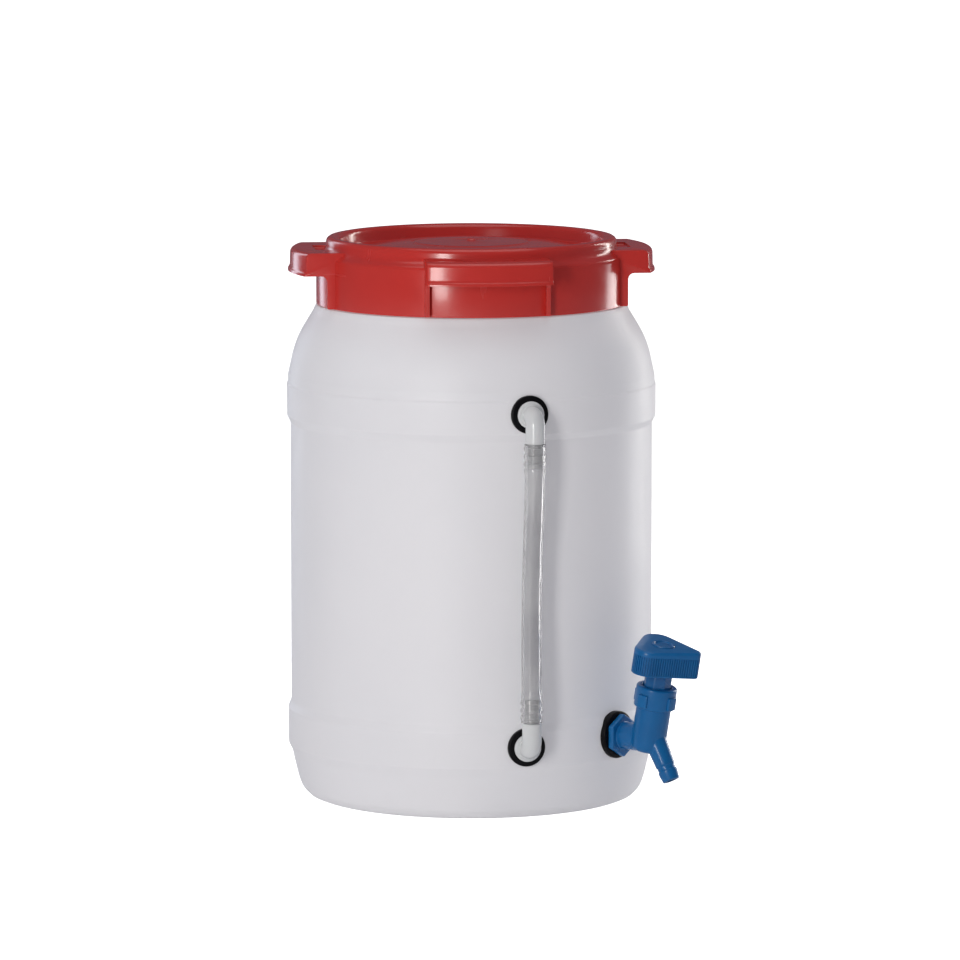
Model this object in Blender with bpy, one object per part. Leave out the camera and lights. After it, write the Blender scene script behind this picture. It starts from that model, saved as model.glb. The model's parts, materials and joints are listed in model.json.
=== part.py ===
"""Wide-neck plastic drum with a screw lid, a level gauge and a draw-off tap.

Units are metres and +Z is up. The origin is the centre of the base, on the surface the drum stands on.
The lid's four lugs lie along +X, -X, +Y and -Y. A fitting on the wall is modelled in a frame of its own:
+X points out of the wall, +Y to the right as seen from outside, and +Z up.
"""

import math

import bmesh
import bpy
from mathutils import Matrix, Vector

# Driving dimensions of the drum
FOOT_RADIUS = 0.110
BARREL_RADIUS = 0.1272
LOWER_BAND_RADIUS = 0.1292
UPPER_BAND_RADIUS = 0.1297
INNER_RADIUS = 0.1246
NECK_RADIUS = 0.1010
NECK_RIM_RADIUS = 0.0986
NECK_BORE_RADIUS = 0.0974
NECK_RIM_BORE_RADIUS = 0.0950
NECK_TOP = 0.3894
BASE_LIFT = 0.0015
FLOOR_TOP = 0.0045

# Driving dimensions of the lid
SKIRT_RADIUS = 0.1089
SKIRT_BORE_RADIUS = 0.1064
SKIRT_BOTTOM = 0.3487
RIM_TOP = 0.3955
RIM_RADIUS = 0.1020
CHANNEL_TOP = 0.3930
LUG_COUNT = 4
LUG_RADIUS = 0.1273
LUG_LIP_RADIUS = 0.1288
LUG_HALF_WIDTH = 0.0434
LUG_WALL = 0.0030
LUG_TOP = 0.3882
LUG_BOTTOM = 0.3722
LUG_WEB_REACH = 0.1054
LUG_ROOT = 0.0880
LUG_BLANK_REACH = 0.1350
SEAL_INNER_RADIUS = 0.0945
SEAL_OUTER_RADIUS = 0.0992

# Screw thread between neck and lid, right-handed
THREAD_LEAD = 0.0100
THREAD_TURNS = 1.25
THREAD_ROOT_WIDTH = 0.0040
THREAD_CREST_WIDTH = 0.0020
LID_THREAD_START = 0.3532
NECK_CREST_RADIUS = 0.1042
LID_CREST_RADIUS = 0.1022

# Level gauge
UPPER_AZIMUTH = math.radians(11.55)
LOWER_AZIMUTH = math.radians(10.65)
UPPER_ELBOW_HEIGHT = 0.2838
LOWER_ELBOW_HEIGHT = 0.0526
HOSE_AXIS_RADIUS = 0.1425
UPPER_HOSE_END = 0.2648
LOWER_HOSE_END = 0.0718
HOSE_RADIUS = 0.0070
HOSE_BORE_RADIUS = 0.0050
HOSE_BOW = 0.0030
SWOLLEN_BORE_RADIUS = 0.0057
SWOLLEN_END_RADIUS = 0.0074
SWOLLEN_PEAK_RADIUS = 0.0079
SWOLLEN_VALLEY_RADIUS = 0.00745
HOSE_STATIONS_BETWEEN = 6
BARB_LENGTH = 0.0153
BARB_PITCH = 0.0053
BARB_COUNT = 3
BARB_BASE_RADIUS = 0.0046
BARB_HEIGHT = 0.0008
ELBOW_RADIUS = 0.00675
ELBOW_BEND_RADIUS = 0.0074
ELBOW_BORE_RADIUS = 0.0034
ELBOW_SHANK_RADIUS = 0.0050
ELBOW_SHANK_END = 0.1120
ELBOW_FLANGE_RADIUS = 0.0095
ELBOW_RING_RADIUS = 0.01325
ELBOW_WASHER_RADIUS = 0.0090
ELBOW_WASHER_THICKNESS = 0.0020
ELBOW_NUT_RADIUS = 0.0092
ELBOW_NUT_THICKNESS = 0.0060
FLANGE_SEAT = 0.1326
WALL_RING_DEPTH = 0.0080
WALL_RING_CHAMFER = 0.0006

# Tap
TAP_AZIMUTH = math.radians(44.8)
TAP_HEIGHT = 0.0546
TAP_SHANK_RADIUS = 0.0097
TAP_SHANK_END = 0.1060
TAP_RING_RADIUS = 0.0165
TAP_WASHER_RADIUS = 0.0150
TAP_WASHER_THICKNESS = 0.0025
TAP_NUT_RADIUS = 0.0160
TAP_NUT_THICKNESS = 0.0080
TAP_FLANGE_RADIUS = 0.0150
TAP_FLANGE_FRONT = 0.1370
TAP_FLANGE_BEVEL = 0.0008
TAP_INLET_RADIUS = 0.0094
TAP_INLET_BORE = 0.0060
BARREL_FOOT = Vector((0.1585, 0.0, 0.0560))
BARREL_LEAN = math.radians(10.5)
TAP_BARREL_RADIUS = 0.0121
TAP_BARREL_BOTTOM = -0.0125
TAP_BARREL_TOP = 0.0300
CHAMBER_RADIUS = 0.0085
CHAMBER_BOTTOM = -0.0080
SPOUT_START = Vector((0.1631, 0.0, 0.0552))
SPOUT_END = Vector((0.1780, 0.0, 0.0272))
SPOUT_BORE = 0.0040
PLUG_RADIUS = 0.0082
PLUG_GROOVE_RADIUS = 0.0064
PLUG_GROOVE = (0.0200, 0.0222)
PLUG_HEAD_RADIUS = 0.0118
PLUG_HEAD_TOP = 0.0328
CROSS_HOLE_RADIUS = 0.0045
COLLAR_RADIUS = 0.0142
COLLAR_BOTTOM = 0.0218
COLLAR_TOP = 0.0370
COLLAR_CHAMFER = 0.0012
COLLAR_SHELF = 0.0332
LOBE_COUNT = 4
LOBE_HALF_WIDTH = 0.0040
LOBE_RISE = 0.0014
STEM_RADIUS = 0.0098
SPIGOT_RADIUS = 0.0056
SCREW_HOLE_RADIUS = 0.0019
SCREW_RADIUS = 0.0015
SCREW_HEAD_RADIUS = 0.0040
KNOB_BOTTOM = 0.0476
KNOB_TOP = 0.0655
KNOB_BEVEL = 0.0016
KNOB_SOCKET_RADIUS = 0.0060
CAP_RADIUS = 0.0080
KNOB_TURN = math.radians(26.0)
KNOB_TIP = (0.0238, 0.0045)
KNOB_BACK_CORNER = (-0.0065, 0.0120, 0.0110)

GAP = 0.0003
DRUM_STEPS = 48
FITTING_STEPS = 20
SMALL_STEPS = 12


# ---------------------------------------------------------------- helpers


def clear_scene():
    """Removes every object, so that a second run starts from nothing."""
    for thing in list(bpy.data.objects):
        bpy.data.objects.remove(thing, do_unlink=True)


def finish(name, colour, roughness, metallic=0.0):
    """A Principled material with a plain colour."""
    material = bpy.data.materials.new(name)
    material.use_nodes = True
    shader = material.node_tree.nodes["Principled BSDF"]
    shader.inputs["Base Color"].default_value = (*colour, 1.0)
    shader.inputs["Roughness"].default_value = roughness
    shader.inputs["Metallic"].default_value = metallic
    material.diffuse_color = (*colour, 1.0)
    return material


def add(name, shape, material=None, parent=None):
    """Turns a bmesh into a named object and frees the bmesh."""
    bmesh.ops.recalc_face_normals(shape, faces=shape.faces)
    mesh = bpy.data.meshes.new(name)
    shape.to_mesh(mesh)
    shape.free()
    mesh.shade_smooth()
    mesh.set_sharp_from_angle(angle=math.radians(35))
    thing = bpy.data.objects.new(name, mesh)
    bpy.context.scene.collection.objects.link(thing)
    thing.parent = parent
    if material:
        mesh.materials.append(material)
    return thing


def frame(name, azimuth=0.0, place=Vector(), lean=0.0, parent=None):
    """An empty that holds the pieces of one fitting."""
    empty = bpy.data.objects.new(name, None)
    bpy.context.scene.collection.objects.link(empty)
    empty.parent = parent
    empty.location = place
    empty.rotation_euler = (0.0, lean, azimuth)
    return empty


def wall_frame(name, azimuth):
    """A frame on the drum's axis, with +X out of the wall; azimuth 0 faces -Y and grows towards +X."""
    return frame(name, azimuth=azimuth - math.pi / 2)


def combine(target, tool, operation):
    """Adds a Boolean that cuts target with tool or joins them, and hides the tool."""
    boolean = target.modifiers.new(f"{operation.lower()}_{tool.name}", "BOOLEAN")
    boolean.operation = operation
    boolean.object = tool
    boolean.solver = "EXACT"
    tool.hide_render = True
    tool.display_type = "WIRE"


def turned(outline, steps=FITTING_STEPS, turn=Matrix.Identity(4)):
    """Turns an outline of (radius, height) points about Z.

    The outline is closed, unless its first point is on the axis: then its last one is too.
    """
    shape = bmesh.new()
    points = [shape.verts.new((radius, 0.0, height)) for radius, height in outline]
    pairs = list(zip(points, points[1:]))
    if outline[0][0] > 0.0:
        pairs.append((points[-1], points[0]))
    edges = [shape.edges.new(pair) for pair in pairs]
    bmesh.ops.spin(
        shape,
        geom=points + edges,
        cent=(0.0, 0.0, 0.0),
        axis=(0.0, 0.0, 1.0),
        angle=2.0 * math.pi,
        steps=steps,
    )
    bmesh.ops.remove_doubles(shape, verts=shape.verts, dist=1e-6)
    bmesh.ops.transform(shape, matrix=turn, verts=shape.verts)
    return shape


def ring_outline(inner, outer, bottom, top, chamfer=0.0):
    """The outline of a flat ring with chamfered outer edges."""
    if chamfer == 0.0:
        return [(inner, bottom), (outer, bottom), (outer, top), (inner, top)]
    return [
        (inner, bottom),
        (outer - chamfer, bottom),
        (outer, bottom + chamfer),
        (outer, top - chamfer),
        (outer - chamfer, top),
        (inner, top),
    ]


def disc_outline(radius, bottom, top):
    """The outline of a plain round bar."""
    return [(0.0, bottom), (radius, bottom), (radius, top), (0.0, top)]


def prism(corners, bottom, top, bevel=0.0):
    """Extrudes a flat outline of (x, y) corners up Z, and draws its top edge in by bevel."""
    shape = bmesh.new()
    face = shape.faces.new([shape.verts.new((x, y, bottom)) for x, y in corners])
    if bevel == 0.0:
        raise_face(shape, face, top - bottom)
        return shape
    side_top = raise_face(shape, face, top - bevel - bottom)
    draw_in(raise_face(shape, side_top, bevel), bevel)
    shape.faces.remove(side_top)
    return shape


def raise_face(shape, face, height):
    """Extrudes a face up Z and returns the new face; the old one stays."""
    made = bmesh.ops.extrude_face_region(shape, geom=[face], use_keep_orig=True)
    raised = next(part for part in made["geom"] if isinstance(part, bmesh.types.BMFace))
    bmesh.ops.translate(shape, verts=raised.verts, vec=(0.0, 0.0, height))
    return raised


def draw_in(face, amount):
    """Moves a face's corners towards its middle by about this amount."""
    middle = face.calc_center_median()
    for corner in face.verts:
        reach = corner.co - middle
        corner.co = middle + reach * (1.0 - amount / reach.length)


def polygon(radius, sides, first_angle=0.0):
    """The corners of a regular polygon."""
    angles = [first_angle + 2.0 * math.pi * index / sides for index in range(sides)]
    return [(radius * math.cos(angle), radius * math.sin(angle)) for angle in angles]


def arc(centre, radius, start, end, count):
    """Points along an arc, both ends included; angles are in degrees."""
    angles = [math.radians(start + (end - start) * index / (count - 1)) for index in range(count)]
    return [(centre[0] + radius * math.cos(a), centre[1] + radius * math.sin(a)) for a in angles]


def box(low, high):
    """A box between two corners."""
    shape = bmesh.new()
    bmesh.ops.create_cube(shape, size=1.0)
    size = [b - a for a, b in zip(low, high)]
    middle = [(a + b) / 2.0 for a, b in zip(low, high)]
    bmesh.ops.scale(shape, vec=size, verts=shape.verts)
    bmesh.ops.translate(shape, vec=middle, verts=shape.verts)
    return shape


def ring_at(shape, centre, direction, radius, steps):
    """A circle of vertices square to a direction, in order; the direction never nears -X."""
    swing = Vector((1.0, 0.0, 0.0)).rotation_difference(direction).to_matrix().to_4x4()
    turn = swing @ Matrix.Rotation(math.pi / 2, 4, "Y")
    made = bmesh.ops.create_circle(
        shape, cap_ends=False, segments=steps, radius=radius, matrix=Matrix.Translation(centre) @ turn
    )
    return made["verts"]


def bored_tube(outer, inner, steps=SMALL_STEPS):
    """A tube with a through bore, from rings of (centre, direction, radius).

    The outer rings run one way along the route and the inner ones too; the ends close flat.
    """
    shape = bmesh.new()
    rings = [ring_at(shape, *ring, steps) for ring in outer + inner[::-1]]
    for first, second in zip(rings, rings[1:] + rings[:1]):
        for index in range(steps):
            after = (index + 1) % steps
            shape.faces.new((first[index], first[after], second[after], second[index]))
    return shape


def lying(point=Vector()):
    """Turns a shape made about Z so that it lies along +X from a point."""
    return Matrix.Translation(point) @ Matrix.Rotation(math.pi / 2, 4, "Y")


def along(start, end):
    """Turns a shape made about Z so that it runs from start towards end."""
    return Matrix.Translation(start) @ (end - start).to_track_quat("Z", "Y").to_matrix().to_4x4()


# ---------------------------------------------------------------- drum


def drum_outside(offset=0.0):
    """The drum's outer outline from the base's middle to the neck's rim, moved out by offset."""
    outline = [
        (FOOT_RADIUS - 0.0120, BASE_LIFT),
        (FOOT_RADIUS - 0.0075, 0.0),
        (FOOT_RADIUS, 0.0),
        (0.1152, 0.0021),
        (0.1194, 0.0067),
        (0.1221, 0.0135),
        (0.1247, 0.0240),
        (0.1268, 0.0328),
        (LOWER_BAND_RADIUS, 0.0377),
        (LOWER_BAND_RADIUS, 0.0628),
        (BARREL_RADIUS, 0.0680),
        (BARREL_RADIUS, 0.2650),
        (UPPER_BAND_RADIUS - 0.0001, 0.2698),
        (UPPER_BAND_RADIUS, 0.2920),
        (0.1293, 0.2980),
        (0.1274, 0.3055),
        (0.1250, 0.3160),
        (0.1210, 0.3266),
        (0.1156, 0.3360),
        (0.1113, 0.3430),
        (0.1097, 0.3466),
        (0.1087, 0.3481),
        (NECK_RADIUS, 0.3483),
        (NECK_RADIUS, 0.3795),
        (NECK_RIM_RADIUS, 0.3816),
        (NECK_RIM_RADIUS, NECK_TOP),
    ]
    return [(radius + offset, height) for radius, height in outline]


def drum_inside():
    """The drum's inner outline from the neck's rim down to the middle of the floor."""
    return [
        (NECK_RIM_BORE_RADIUS, NECK_TOP),
        (NECK_RIM_BORE_RADIUS, 0.3800),
        (NECK_BORE_RADIUS, 0.3780),
        (NECK_BORE_RADIUS, 0.3470),
        (0.1056, 0.3440),
        (0.1128, 0.3336),
        (0.1182, 0.3240),
        (0.1218, 0.3148),
        (INNER_RADIUS, 0.2980),
        (INNER_RADIUS, 0.0360),
        (0.1190, 0.0135),
        (0.1150, 0.0072),
        (0.1105, FLOOR_TOP),
        (0.0, FLOOR_TOP),
    ]


def thread_ridge(name, root, crest, start):
    """A helical ridge of trapezoid section whose ends run out into the wall."""
    steps = round(THREAD_TURNS * DRUM_STEPS)
    shape = bmesh.new()
    sections = []
    for index in range(steps + 1):
        angle = 2.0 * math.pi * index / DRUM_STEPS
        middle = start + THREAD_LEAD * index / DRUM_STEPS
        run_out = min(1.0, 0.25 + 0.25 * min(index, steps - index))
        reach = root + (crest - root) * run_out
        corners = [
            (root, middle - THREAD_ROOT_WIDTH / 2),
            (reach, middle - THREAD_CREST_WIDTH / 2),
            (reach, middle + THREAD_CREST_WIDTH / 2),
            (root, middle + THREAD_ROOT_WIDTH / 2),
        ]
        sections.append(
            [shape.verts.new((r * math.cos(angle), r * math.sin(angle), z)) for r, z in corners]
        )
    for first, second in zip(sections, sections[1:]):
        for side in range(4):
            after = (side + 1) % 4
            shape.faces.new((first[side], first[after], second[after], second[side]))
    shape.faces.new(sections[0])
    shape.faces.new(sections[-1])
    return add(name, shape)


def wall_hole(name, holder, radius, height):
    """A round cutter through the drum's wall."""
    outline = disc_outline(radius, INNER_RADIUS - 0.0100, UPPER_BAND_RADIUS + 0.0100)
    return add(name, turned(outline, FITTING_STEPS, lying(Vector((0, 0, height)))), parent=holder)


def make_drum(white, upper, lower, tap):
    """The blow-moulded drum with its neck thread and three wall holes."""
    outline = [(0.0, BASE_LIFT)] + drum_outside() + drum_inside()
    drum = add("drum_body", turned(outline, DRUM_STEPS), white)
    thread = thread_ridge(
        "neck_thread", NECK_RADIUS - 0.0014, NECK_CREST_RADIUS, LID_THREAD_START + THREAD_LEAD / 2
    )
    combine(drum, thread, "UNION")
    hole = ELBOW_SHANK_RADIUS + GAP
    combine(drum, wall_hole("upper_hole", upper, hole, UPPER_ELBOW_HEIGHT), "DIFFERENCE")
    combine(drum, wall_hole("lower_hole", lower, hole, LOWER_ELBOW_HEIGHT), "DIFFERENCE")
    combine(drum, wall_hole("tap_hole", tap, TAP_SHANK_RADIUS + GAP, TAP_HEIGHT), "DIFFERENCE")


# ---------------------------------------------------------------- lid


def lid_outside():
    """The lid's outer outline: up the skirt, over the rim and across the panel to its middle."""
    return [
        (SKIRT_BORE_RADIUS, SKIRT_BOTTOM),
        (SKIRT_RADIUS - 0.0005, SKIRT_BOTTOM),
        (SKIRT_RADIUS, SKIRT_BOTTOM + 0.0006),
        (SKIRT_RADIUS, 0.3810),
        (0.1083, 0.3831),
        (0.1045, 0.3850),
        (0.1027, 0.3868),
        (RIM_RADIUS, 0.3892),
        (RIM_RADIUS, 0.3916),
        (0.1006, 0.3944),
        (0.0980, RIM_TOP),
        (0.0960, RIM_TOP),
        (0.0931, 0.3943),
        (0.0918, 0.3908),
        (0.0913, 0.3860),
        (0.0865, 0.3846),
        (0.0805, 0.3864),
        (0.0560, 0.3902),
        (0.0405, 0.3914),
        (0.0395, 0.3920),
        (0.0385, 0.3915),
        (0.0030, 0.3924),
        (0.0022, 0.3936),
        (0.0, 0.3938),
    ]


def lid_underside():
    """The lid's inner outline: from the panel's middle, round the seal's channel, to the skirt."""
    return [
        (0.0, 0.3900),
        (0.0560, 0.3876),
        (0.0810, 0.3838),
        (0.0868, 0.3822),
        (0.0941, 0.3822),
        (0.0941, CHANNEL_TOP),
        (0.0996, CHANNEL_TOP),
        (0.0996, 0.3866),
        (0.1014, 0.3830),
        (0.1050, 0.3816),
        (SKIRT_BORE_RADIUS, 0.3800),
    ]


def lid_core():
    """A cutter that ends the lugs inside the lid's wall, so nothing reaches into the lid."""
    outline = [
        (0.0, 0.3300),
        (0.1080, 0.3300),
        (0.1080, 0.3810),
        (0.1009, 0.3860),
        (0.1009, 0.4100),
        (0.0, 0.4100),
    ]
    return add("lid_core", turned(outline, DRUM_STEPS))


def lug_block(name, holder):
    """One lug before its outer face is rounded: its side outline, drawn out to the lug's width."""
    side = [
        (LUG_ROOT, SKIRT_BOTTOM + 0.0004),
        (LUG_WEB_REACH - 0.0006, SKIRT_BOTTOM + 0.0004),
        (LUG_WEB_REACH, SKIRT_BOTTOM + 0.0020),
        (LUG_WEB_REACH, LUG_BOTTOM - 0.0050),
        (LUG_WEB_REACH + 0.0012, LUG_BOTTOM - 0.0016),
        (LUG_WEB_REACH + 0.0044, LUG_BOTTOM),
        (LUG_BLANK_REACH, LUG_BOTTOM),
        (LUG_BLANK_REACH, LUG_TOP),
        (LUG_ROOT, LUG_TOP),
    ]
    shape = prism(side, -LUG_HALF_WIDTH, LUG_HALF_WIDTH)
    bmesh.ops.transform(shape, matrix=Matrix.Rotation(math.pi / 2, 4, "X"), verts=shape.verts)
    return add(name, shape, parent=holder)


def lug_round():
    """The round shape, about the lid's axis, that the four lugs' outer faces lie on."""
    outline = [
        (0.0, SKIRT_BOTTOM - 0.0020),
        (LUG_LIP_RADIUS - 0.0003, SKIRT_BOTTOM - 0.0020),
        (LUG_LIP_RADIUS - 0.0003, LUG_BOTTOM),
        (LUG_LIP_RADIUS, LUG_BOTTOM + 0.0010),
        (LUG_RADIUS + 0.0003, LUG_BOTTOM + 0.0034),
        (LUG_RADIUS, LUG_TOP - 0.0042),
        (LUG_RADIUS - 0.0007, LUG_TOP - 0.0020),
        (LUG_RADIUS - 0.0021, LUG_TOP - 0.0006),
        (LUG_RADIUS - 0.0042, LUG_TOP),
        (0.0, LUG_TOP),
    ]
    return add("lug_round", turned(outline, DRUM_STEPS))


def lug_hollow():
    """The round shape that the four lugs' hollows end at, a wall's thickness inside the lugs."""
    radius = LUG_RADIUS - LUG_WALL
    outline = disc_outline(radius, SKIRT_BOTTOM - 0.0120, LUG_TOP - LUG_WALL)
    return add("lug_hollow", turned(outline, DRUM_STEPS))


def lug_pocket(name, holder):
    """The hollow under a lug, open at the bottom, before its outer side is rounded."""
    half = LUG_HALF_WIDTH - LUG_WALL
    low = (0.0700, -half, SKIRT_BOTTOM - 0.0100)
    return add(name, box(low, (LUG_BLANK_REACH, half, LUG_TOP)), parent=holder)


def make_lid(red):
    """The screw lid: round part, four hollow lugs and the thread inside the skirt."""
    lid = add("lid", turned(lid_underside() + lid_outside(), DRUM_STEPS), red)
    core = lid_core()
    outside = lug_round()
    hollow = lug_hollow()
    for index in range(LUG_COUNT):
        holder = frame(f"lug_frame_{index}", azimuth=index * 2.0 * math.pi / LUG_COUNT)
        block = lug_block(f"lug_{index}", holder)
        pocket = lug_pocket(f"lug_pocket_{index}", holder)
        combine(pocket, hollow, "INTERSECT")
        combine(block, outside, "INTERSECT")
        combine(block, pocket, "DIFFERENCE")
        combine(block, core, "DIFFERENCE")
        combine(lid, block, "UNION")
    thread = thread_ridge(
        "lid_thread", SKIRT_BORE_RADIUS + 0.0012, LID_CREST_RADIUS, LID_THREAD_START
    )
    combine(lid, thread, "UNION")


def make_lid_seal(rubber):
    """The flat ring in the lid's channel, over the neck's rim."""
    outline = ring_outline(SEAL_INNER_RADIUS, SEAL_OUTER_RADIUS, NECK_TOP + GAP, CHANNEL_TOP - GAP)
    add("lid_seal", turned(outline, DRUM_STEPS), rubber)


# ---------------------------------------------------------------- level gauge


def elbow_route(height, way, hose_end):
    """The elbow's centre line as (point, direction) pairs: out of the wall, round, and along Z."""
    start = HOSE_AXIS_RADIUS - ELBOW_BEND_RADIUS
    pivot = Vector((start, 0.0, height + way * ELBOW_BEND_RADIUS))
    route = []
    for index in range(7):
        angle = math.pi / 2 * index / 6
        reach = Vector((math.sin(angle), 0.0, -way * math.cos(angle)))
        direction = Vector((math.cos(angle), 0.0, way * math.sin(angle)))
        route.append((pivot + ELBOW_BEND_RADIUS * reach, direction))
    route.append((Vector((HOSE_AXIS_RADIUS, 0.0, hose_end - way * GAP)), Vector((0.0, 0.0, way))))
    return route


def make_elbow(name, holder, white, height, way, hose_end):
    """A hose elbow: threaded shank, flange, bend and barb. way is -1 where it turns down, +1 up."""
    out = Vector((1.0, 0.0, 0.0))
    route = elbow_route(height, way, hose_end)

    def axis(reach):
        return Vector((reach, 0.0, height))

    outer = [
        (axis(ELBOW_SHANK_END), out, ELBOW_SHANK_RADIUS - 0.0006),
        (axis(ELBOW_SHANK_END + 0.0008), out, ELBOW_SHANK_RADIUS),
        (axis(FLANGE_SEAT), out, ELBOW_SHANK_RADIUS),
        (axis(FLANGE_SEAT), out, ELBOW_FLANGE_RADIUS),
        (axis(FLANGE_SEAT + 0.0014), out, ELBOW_FLANGE_RADIUS),
        (axis(FLANGE_SEAT + 0.0022), out, ELBOW_FLANGE_RADIUS - 0.0010),
    ]
    outer += [(point, direction, ELBOW_RADIUS) for point, direction in route]
    end, ahead = route[-1]
    outer.append((end, ahead, BARB_BASE_RADIUS))
    for index in range(BARB_COUNT):
        rise = end + ahead * (0.0027 + BARB_PITCH * index)
        outer.append((rise, ahead, BARB_BASE_RADIUS))
        outer.append((rise + ahead * 0.0004, ahead, BARB_BASE_RADIUS + BARB_HEIGHT))
        outer.append((rise + ahead * 0.0030, ahead, BARB_BASE_RADIUS))
    tip = end + ahead * (BARB_LENGTH + 0.0006)
    outer.append((tip, ahead, BARB_BASE_RADIUS - 0.0004))
    inner = [(axis(ELBOW_SHANK_END), out, ELBOW_BORE_RADIUS)]
    inner += [(point, direction, ELBOW_BORE_RADIUS) for point, direction in route[:-1]]
    inner.append((tip, ahead, ELBOW_BORE_RADIUS))
    add(name, bored_tube(outer, inner), white, holder)


def wall_skin():
    """A cutter just outside the drum's wall, which shapes the backs of the rubber rings to it."""
    outline = [(0.0, 0.0)] + drum_outside(GAP)[2:] + [(0.0, NECK_TOP)]
    return add("wall_skin", turned(outline, DRUM_STEPS))


def make_wall_ring(name, holder, rubber, skin, bore, radius, height):
    """A rubber ring on the outside of the wall, hollowed to the wall's curve."""
    back = FLANGE_SEAT - WALL_RING_DEPTH
    outline = ring_outline(bore, radius, back, FLANGE_SEAT - GAP, WALL_RING_CHAMFER)
    shape = turned(outline, FITTING_STEPS, lying(Vector((0.0, 0.0, height))))
    combine(add(name, shape, rubber, holder), skin, "DIFFERENCE")


def make_inner_washer(name, holder, rubber, bore, radius, height, thickness):
    """A flat washer on the inside of the wall. Returns where its inner face is."""
    seat = math.sqrt(INNER_RADIUS**2 - radius**2) - 2.0 * GAP
    outline = ring_outline(bore, radius, seat - thickness, seat)
    add(name, turned(outline, FITTING_STEPS, lying(Vector((0.0, 0.0, height)))), rubber, holder)
    return seat - thickness


def make_lock_nut(name, holder, plastic, bore, radius, height, seat, thickness):
    """A hexagon nut behind the washer."""
    nut = add(name, prism(polygon(radius, 6), seat - GAP - thickness, seat - GAP), plastic, holder)
    turn = lying(Vector((0.0, 0.0, height)))
    nut.data.transform(turn)
    hole = turned(disc_outline(bore, seat - thickness - 0.0100, seat + 0.0100), FITTING_STEPS, turn)
    combine(nut, add(f"{name}_bore", hole, parent=holder), "DIFFERENCE")


def hose_centre(height):
    """The hose's centre line: straight over both barbs, with a slight bow towards the drum between."""
    low = LOWER_HOSE_END + BARB_LENGTH + 0.0020
    high = UPPER_HOSE_END - BARB_LENGTH - 0.0020
    share = min(max((height - low) / (high - low), 0.0), 1.0)
    ease = share * share * (3.0 - 2.0 * share)
    azimuth = LOWER_AZIMUTH + (UPPER_AZIMUTH - LOWER_AZIMUTH) * ease
    radius = HOSE_AXIS_RADIUS - HOSE_BOW * (16.0 * (share * (1.0 - share)) ** 2)
    return Vector((radius * math.sin(azimuth), -radius * math.cos(azimuth), height))


def hose_stations():
    """Heights, outer radii and bore radii along the hose, from the bottom up."""
    half = [(0.0, SWOLLEN_END_RADIUS, SWOLLEN_BORE_RADIUS)]
    for index in range(BARB_COUNT):
        peak = 0.0028 + BARB_PITCH * index
        half.append((peak, SWOLLEN_PEAK_RADIUS, SWOLLEN_BORE_RADIUS))
        half.append((peak + 0.0028, SWOLLEN_VALLEY_RADIUS, SWOLLEN_BORE_RADIUS))
    half.append((BARB_LENGTH + 0.0020, 0.0075, SWOLLEN_BORE_RADIUS))
    half.append((BARB_LENGTH + 0.0075, HOSE_RADIUS, HOSE_BORE_RADIUS))
    length = UPPER_HOSE_END - LOWER_HOSE_END
    step = (length - 2.0 * half[-1][0]) / (HOSE_STATIONS_BETWEEN + 1)
    free = [half[-1][0] + step * (index + 1) for index in range(HOSE_STATIONS_BETWEEN)]
    stations = half + [(rise, HOSE_RADIUS, HOSE_BORE_RADIUS) for rise in free]
    return stations + [(length - rise, outer, bore) for rise, outer, bore in half[::-1]]


def make_sight_hose(clear):
    """The clear hose, swollen over the barbs at both ends."""
    outer = []
    inner = []
    step = 0.0010
    for rise, radius, bore in hose_stations():
        height = LOWER_HOSE_END + rise
        below = hose_centre(max(height - step, LOWER_HOSE_END))
        above = hose_centre(min(height + step, UPPER_HOSE_END))
        direction = (above - below).normalized()
        outer.append((hose_centre(height), direction, radius))
        inner.append((hose_centre(height), direction, bore))
    barbs = 2 * BARB_COUNT + 1
    bores = [inner[0]] + inner[barbs:-barbs] + [inner[-1]]
    add("sight_hose", bored_tube(outer, bores), clear)


def make_gauge(finishes, skin, upper, lower):
    """Both ends of the level gauge and the hose between them."""
    ends = (
        ("upper", upper, UPPER_ELBOW_HEIGHT, -1.0, UPPER_HOSE_END),
        ("lower", lower, LOWER_ELBOW_HEIGHT, 1.0, LOWER_HOSE_END),
    )
    bore = ELBOW_SHANK_RADIUS + GAP
    for side, holder, height, way, hose_end in ends:
        make_elbow(f"{side}_elbow", holder, finishes["fitting"], height, way, hose_end)
        make_wall_ring(
            f"{side}_gasket", holder, finishes["rubber"], skin, bore, ELBOW_RING_RADIUS, height
        )
        seat = make_inner_washer(
            f"{side}_inner_washer",
            holder,
            finishes["rubber"],
            bore,
            ELBOW_WASHER_RADIUS,
            height,
            ELBOW_WASHER_THICKNESS,
        )
        make_lock_nut(
            f"{side}_lock_nut",
            holder,
            finishes["fitting"],
            bore,
            ELBOW_NUT_RADIUS,
            height,
            seat,
            ELBOW_NUT_THICKNESS,
        )
    make_sight_hose(finishes["clear"])


# ---------------------------------------------------------------- tap


def spout_outline():
    """The spout's outline along its axis, with one barb near its end."""
    length = (SPOUT_END - SPOUT_START).length
    return [
        (0.0, 0.0),
        (0.0078, 0.0),
        (0.0066, length - 0.0110),
        (0.0061, length - 0.0080),
        (0.0067, length - 0.0075),
        (0.0067, length - 0.0058),
        (0.0059, length),
        (0.0, length),
    ]


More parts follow.
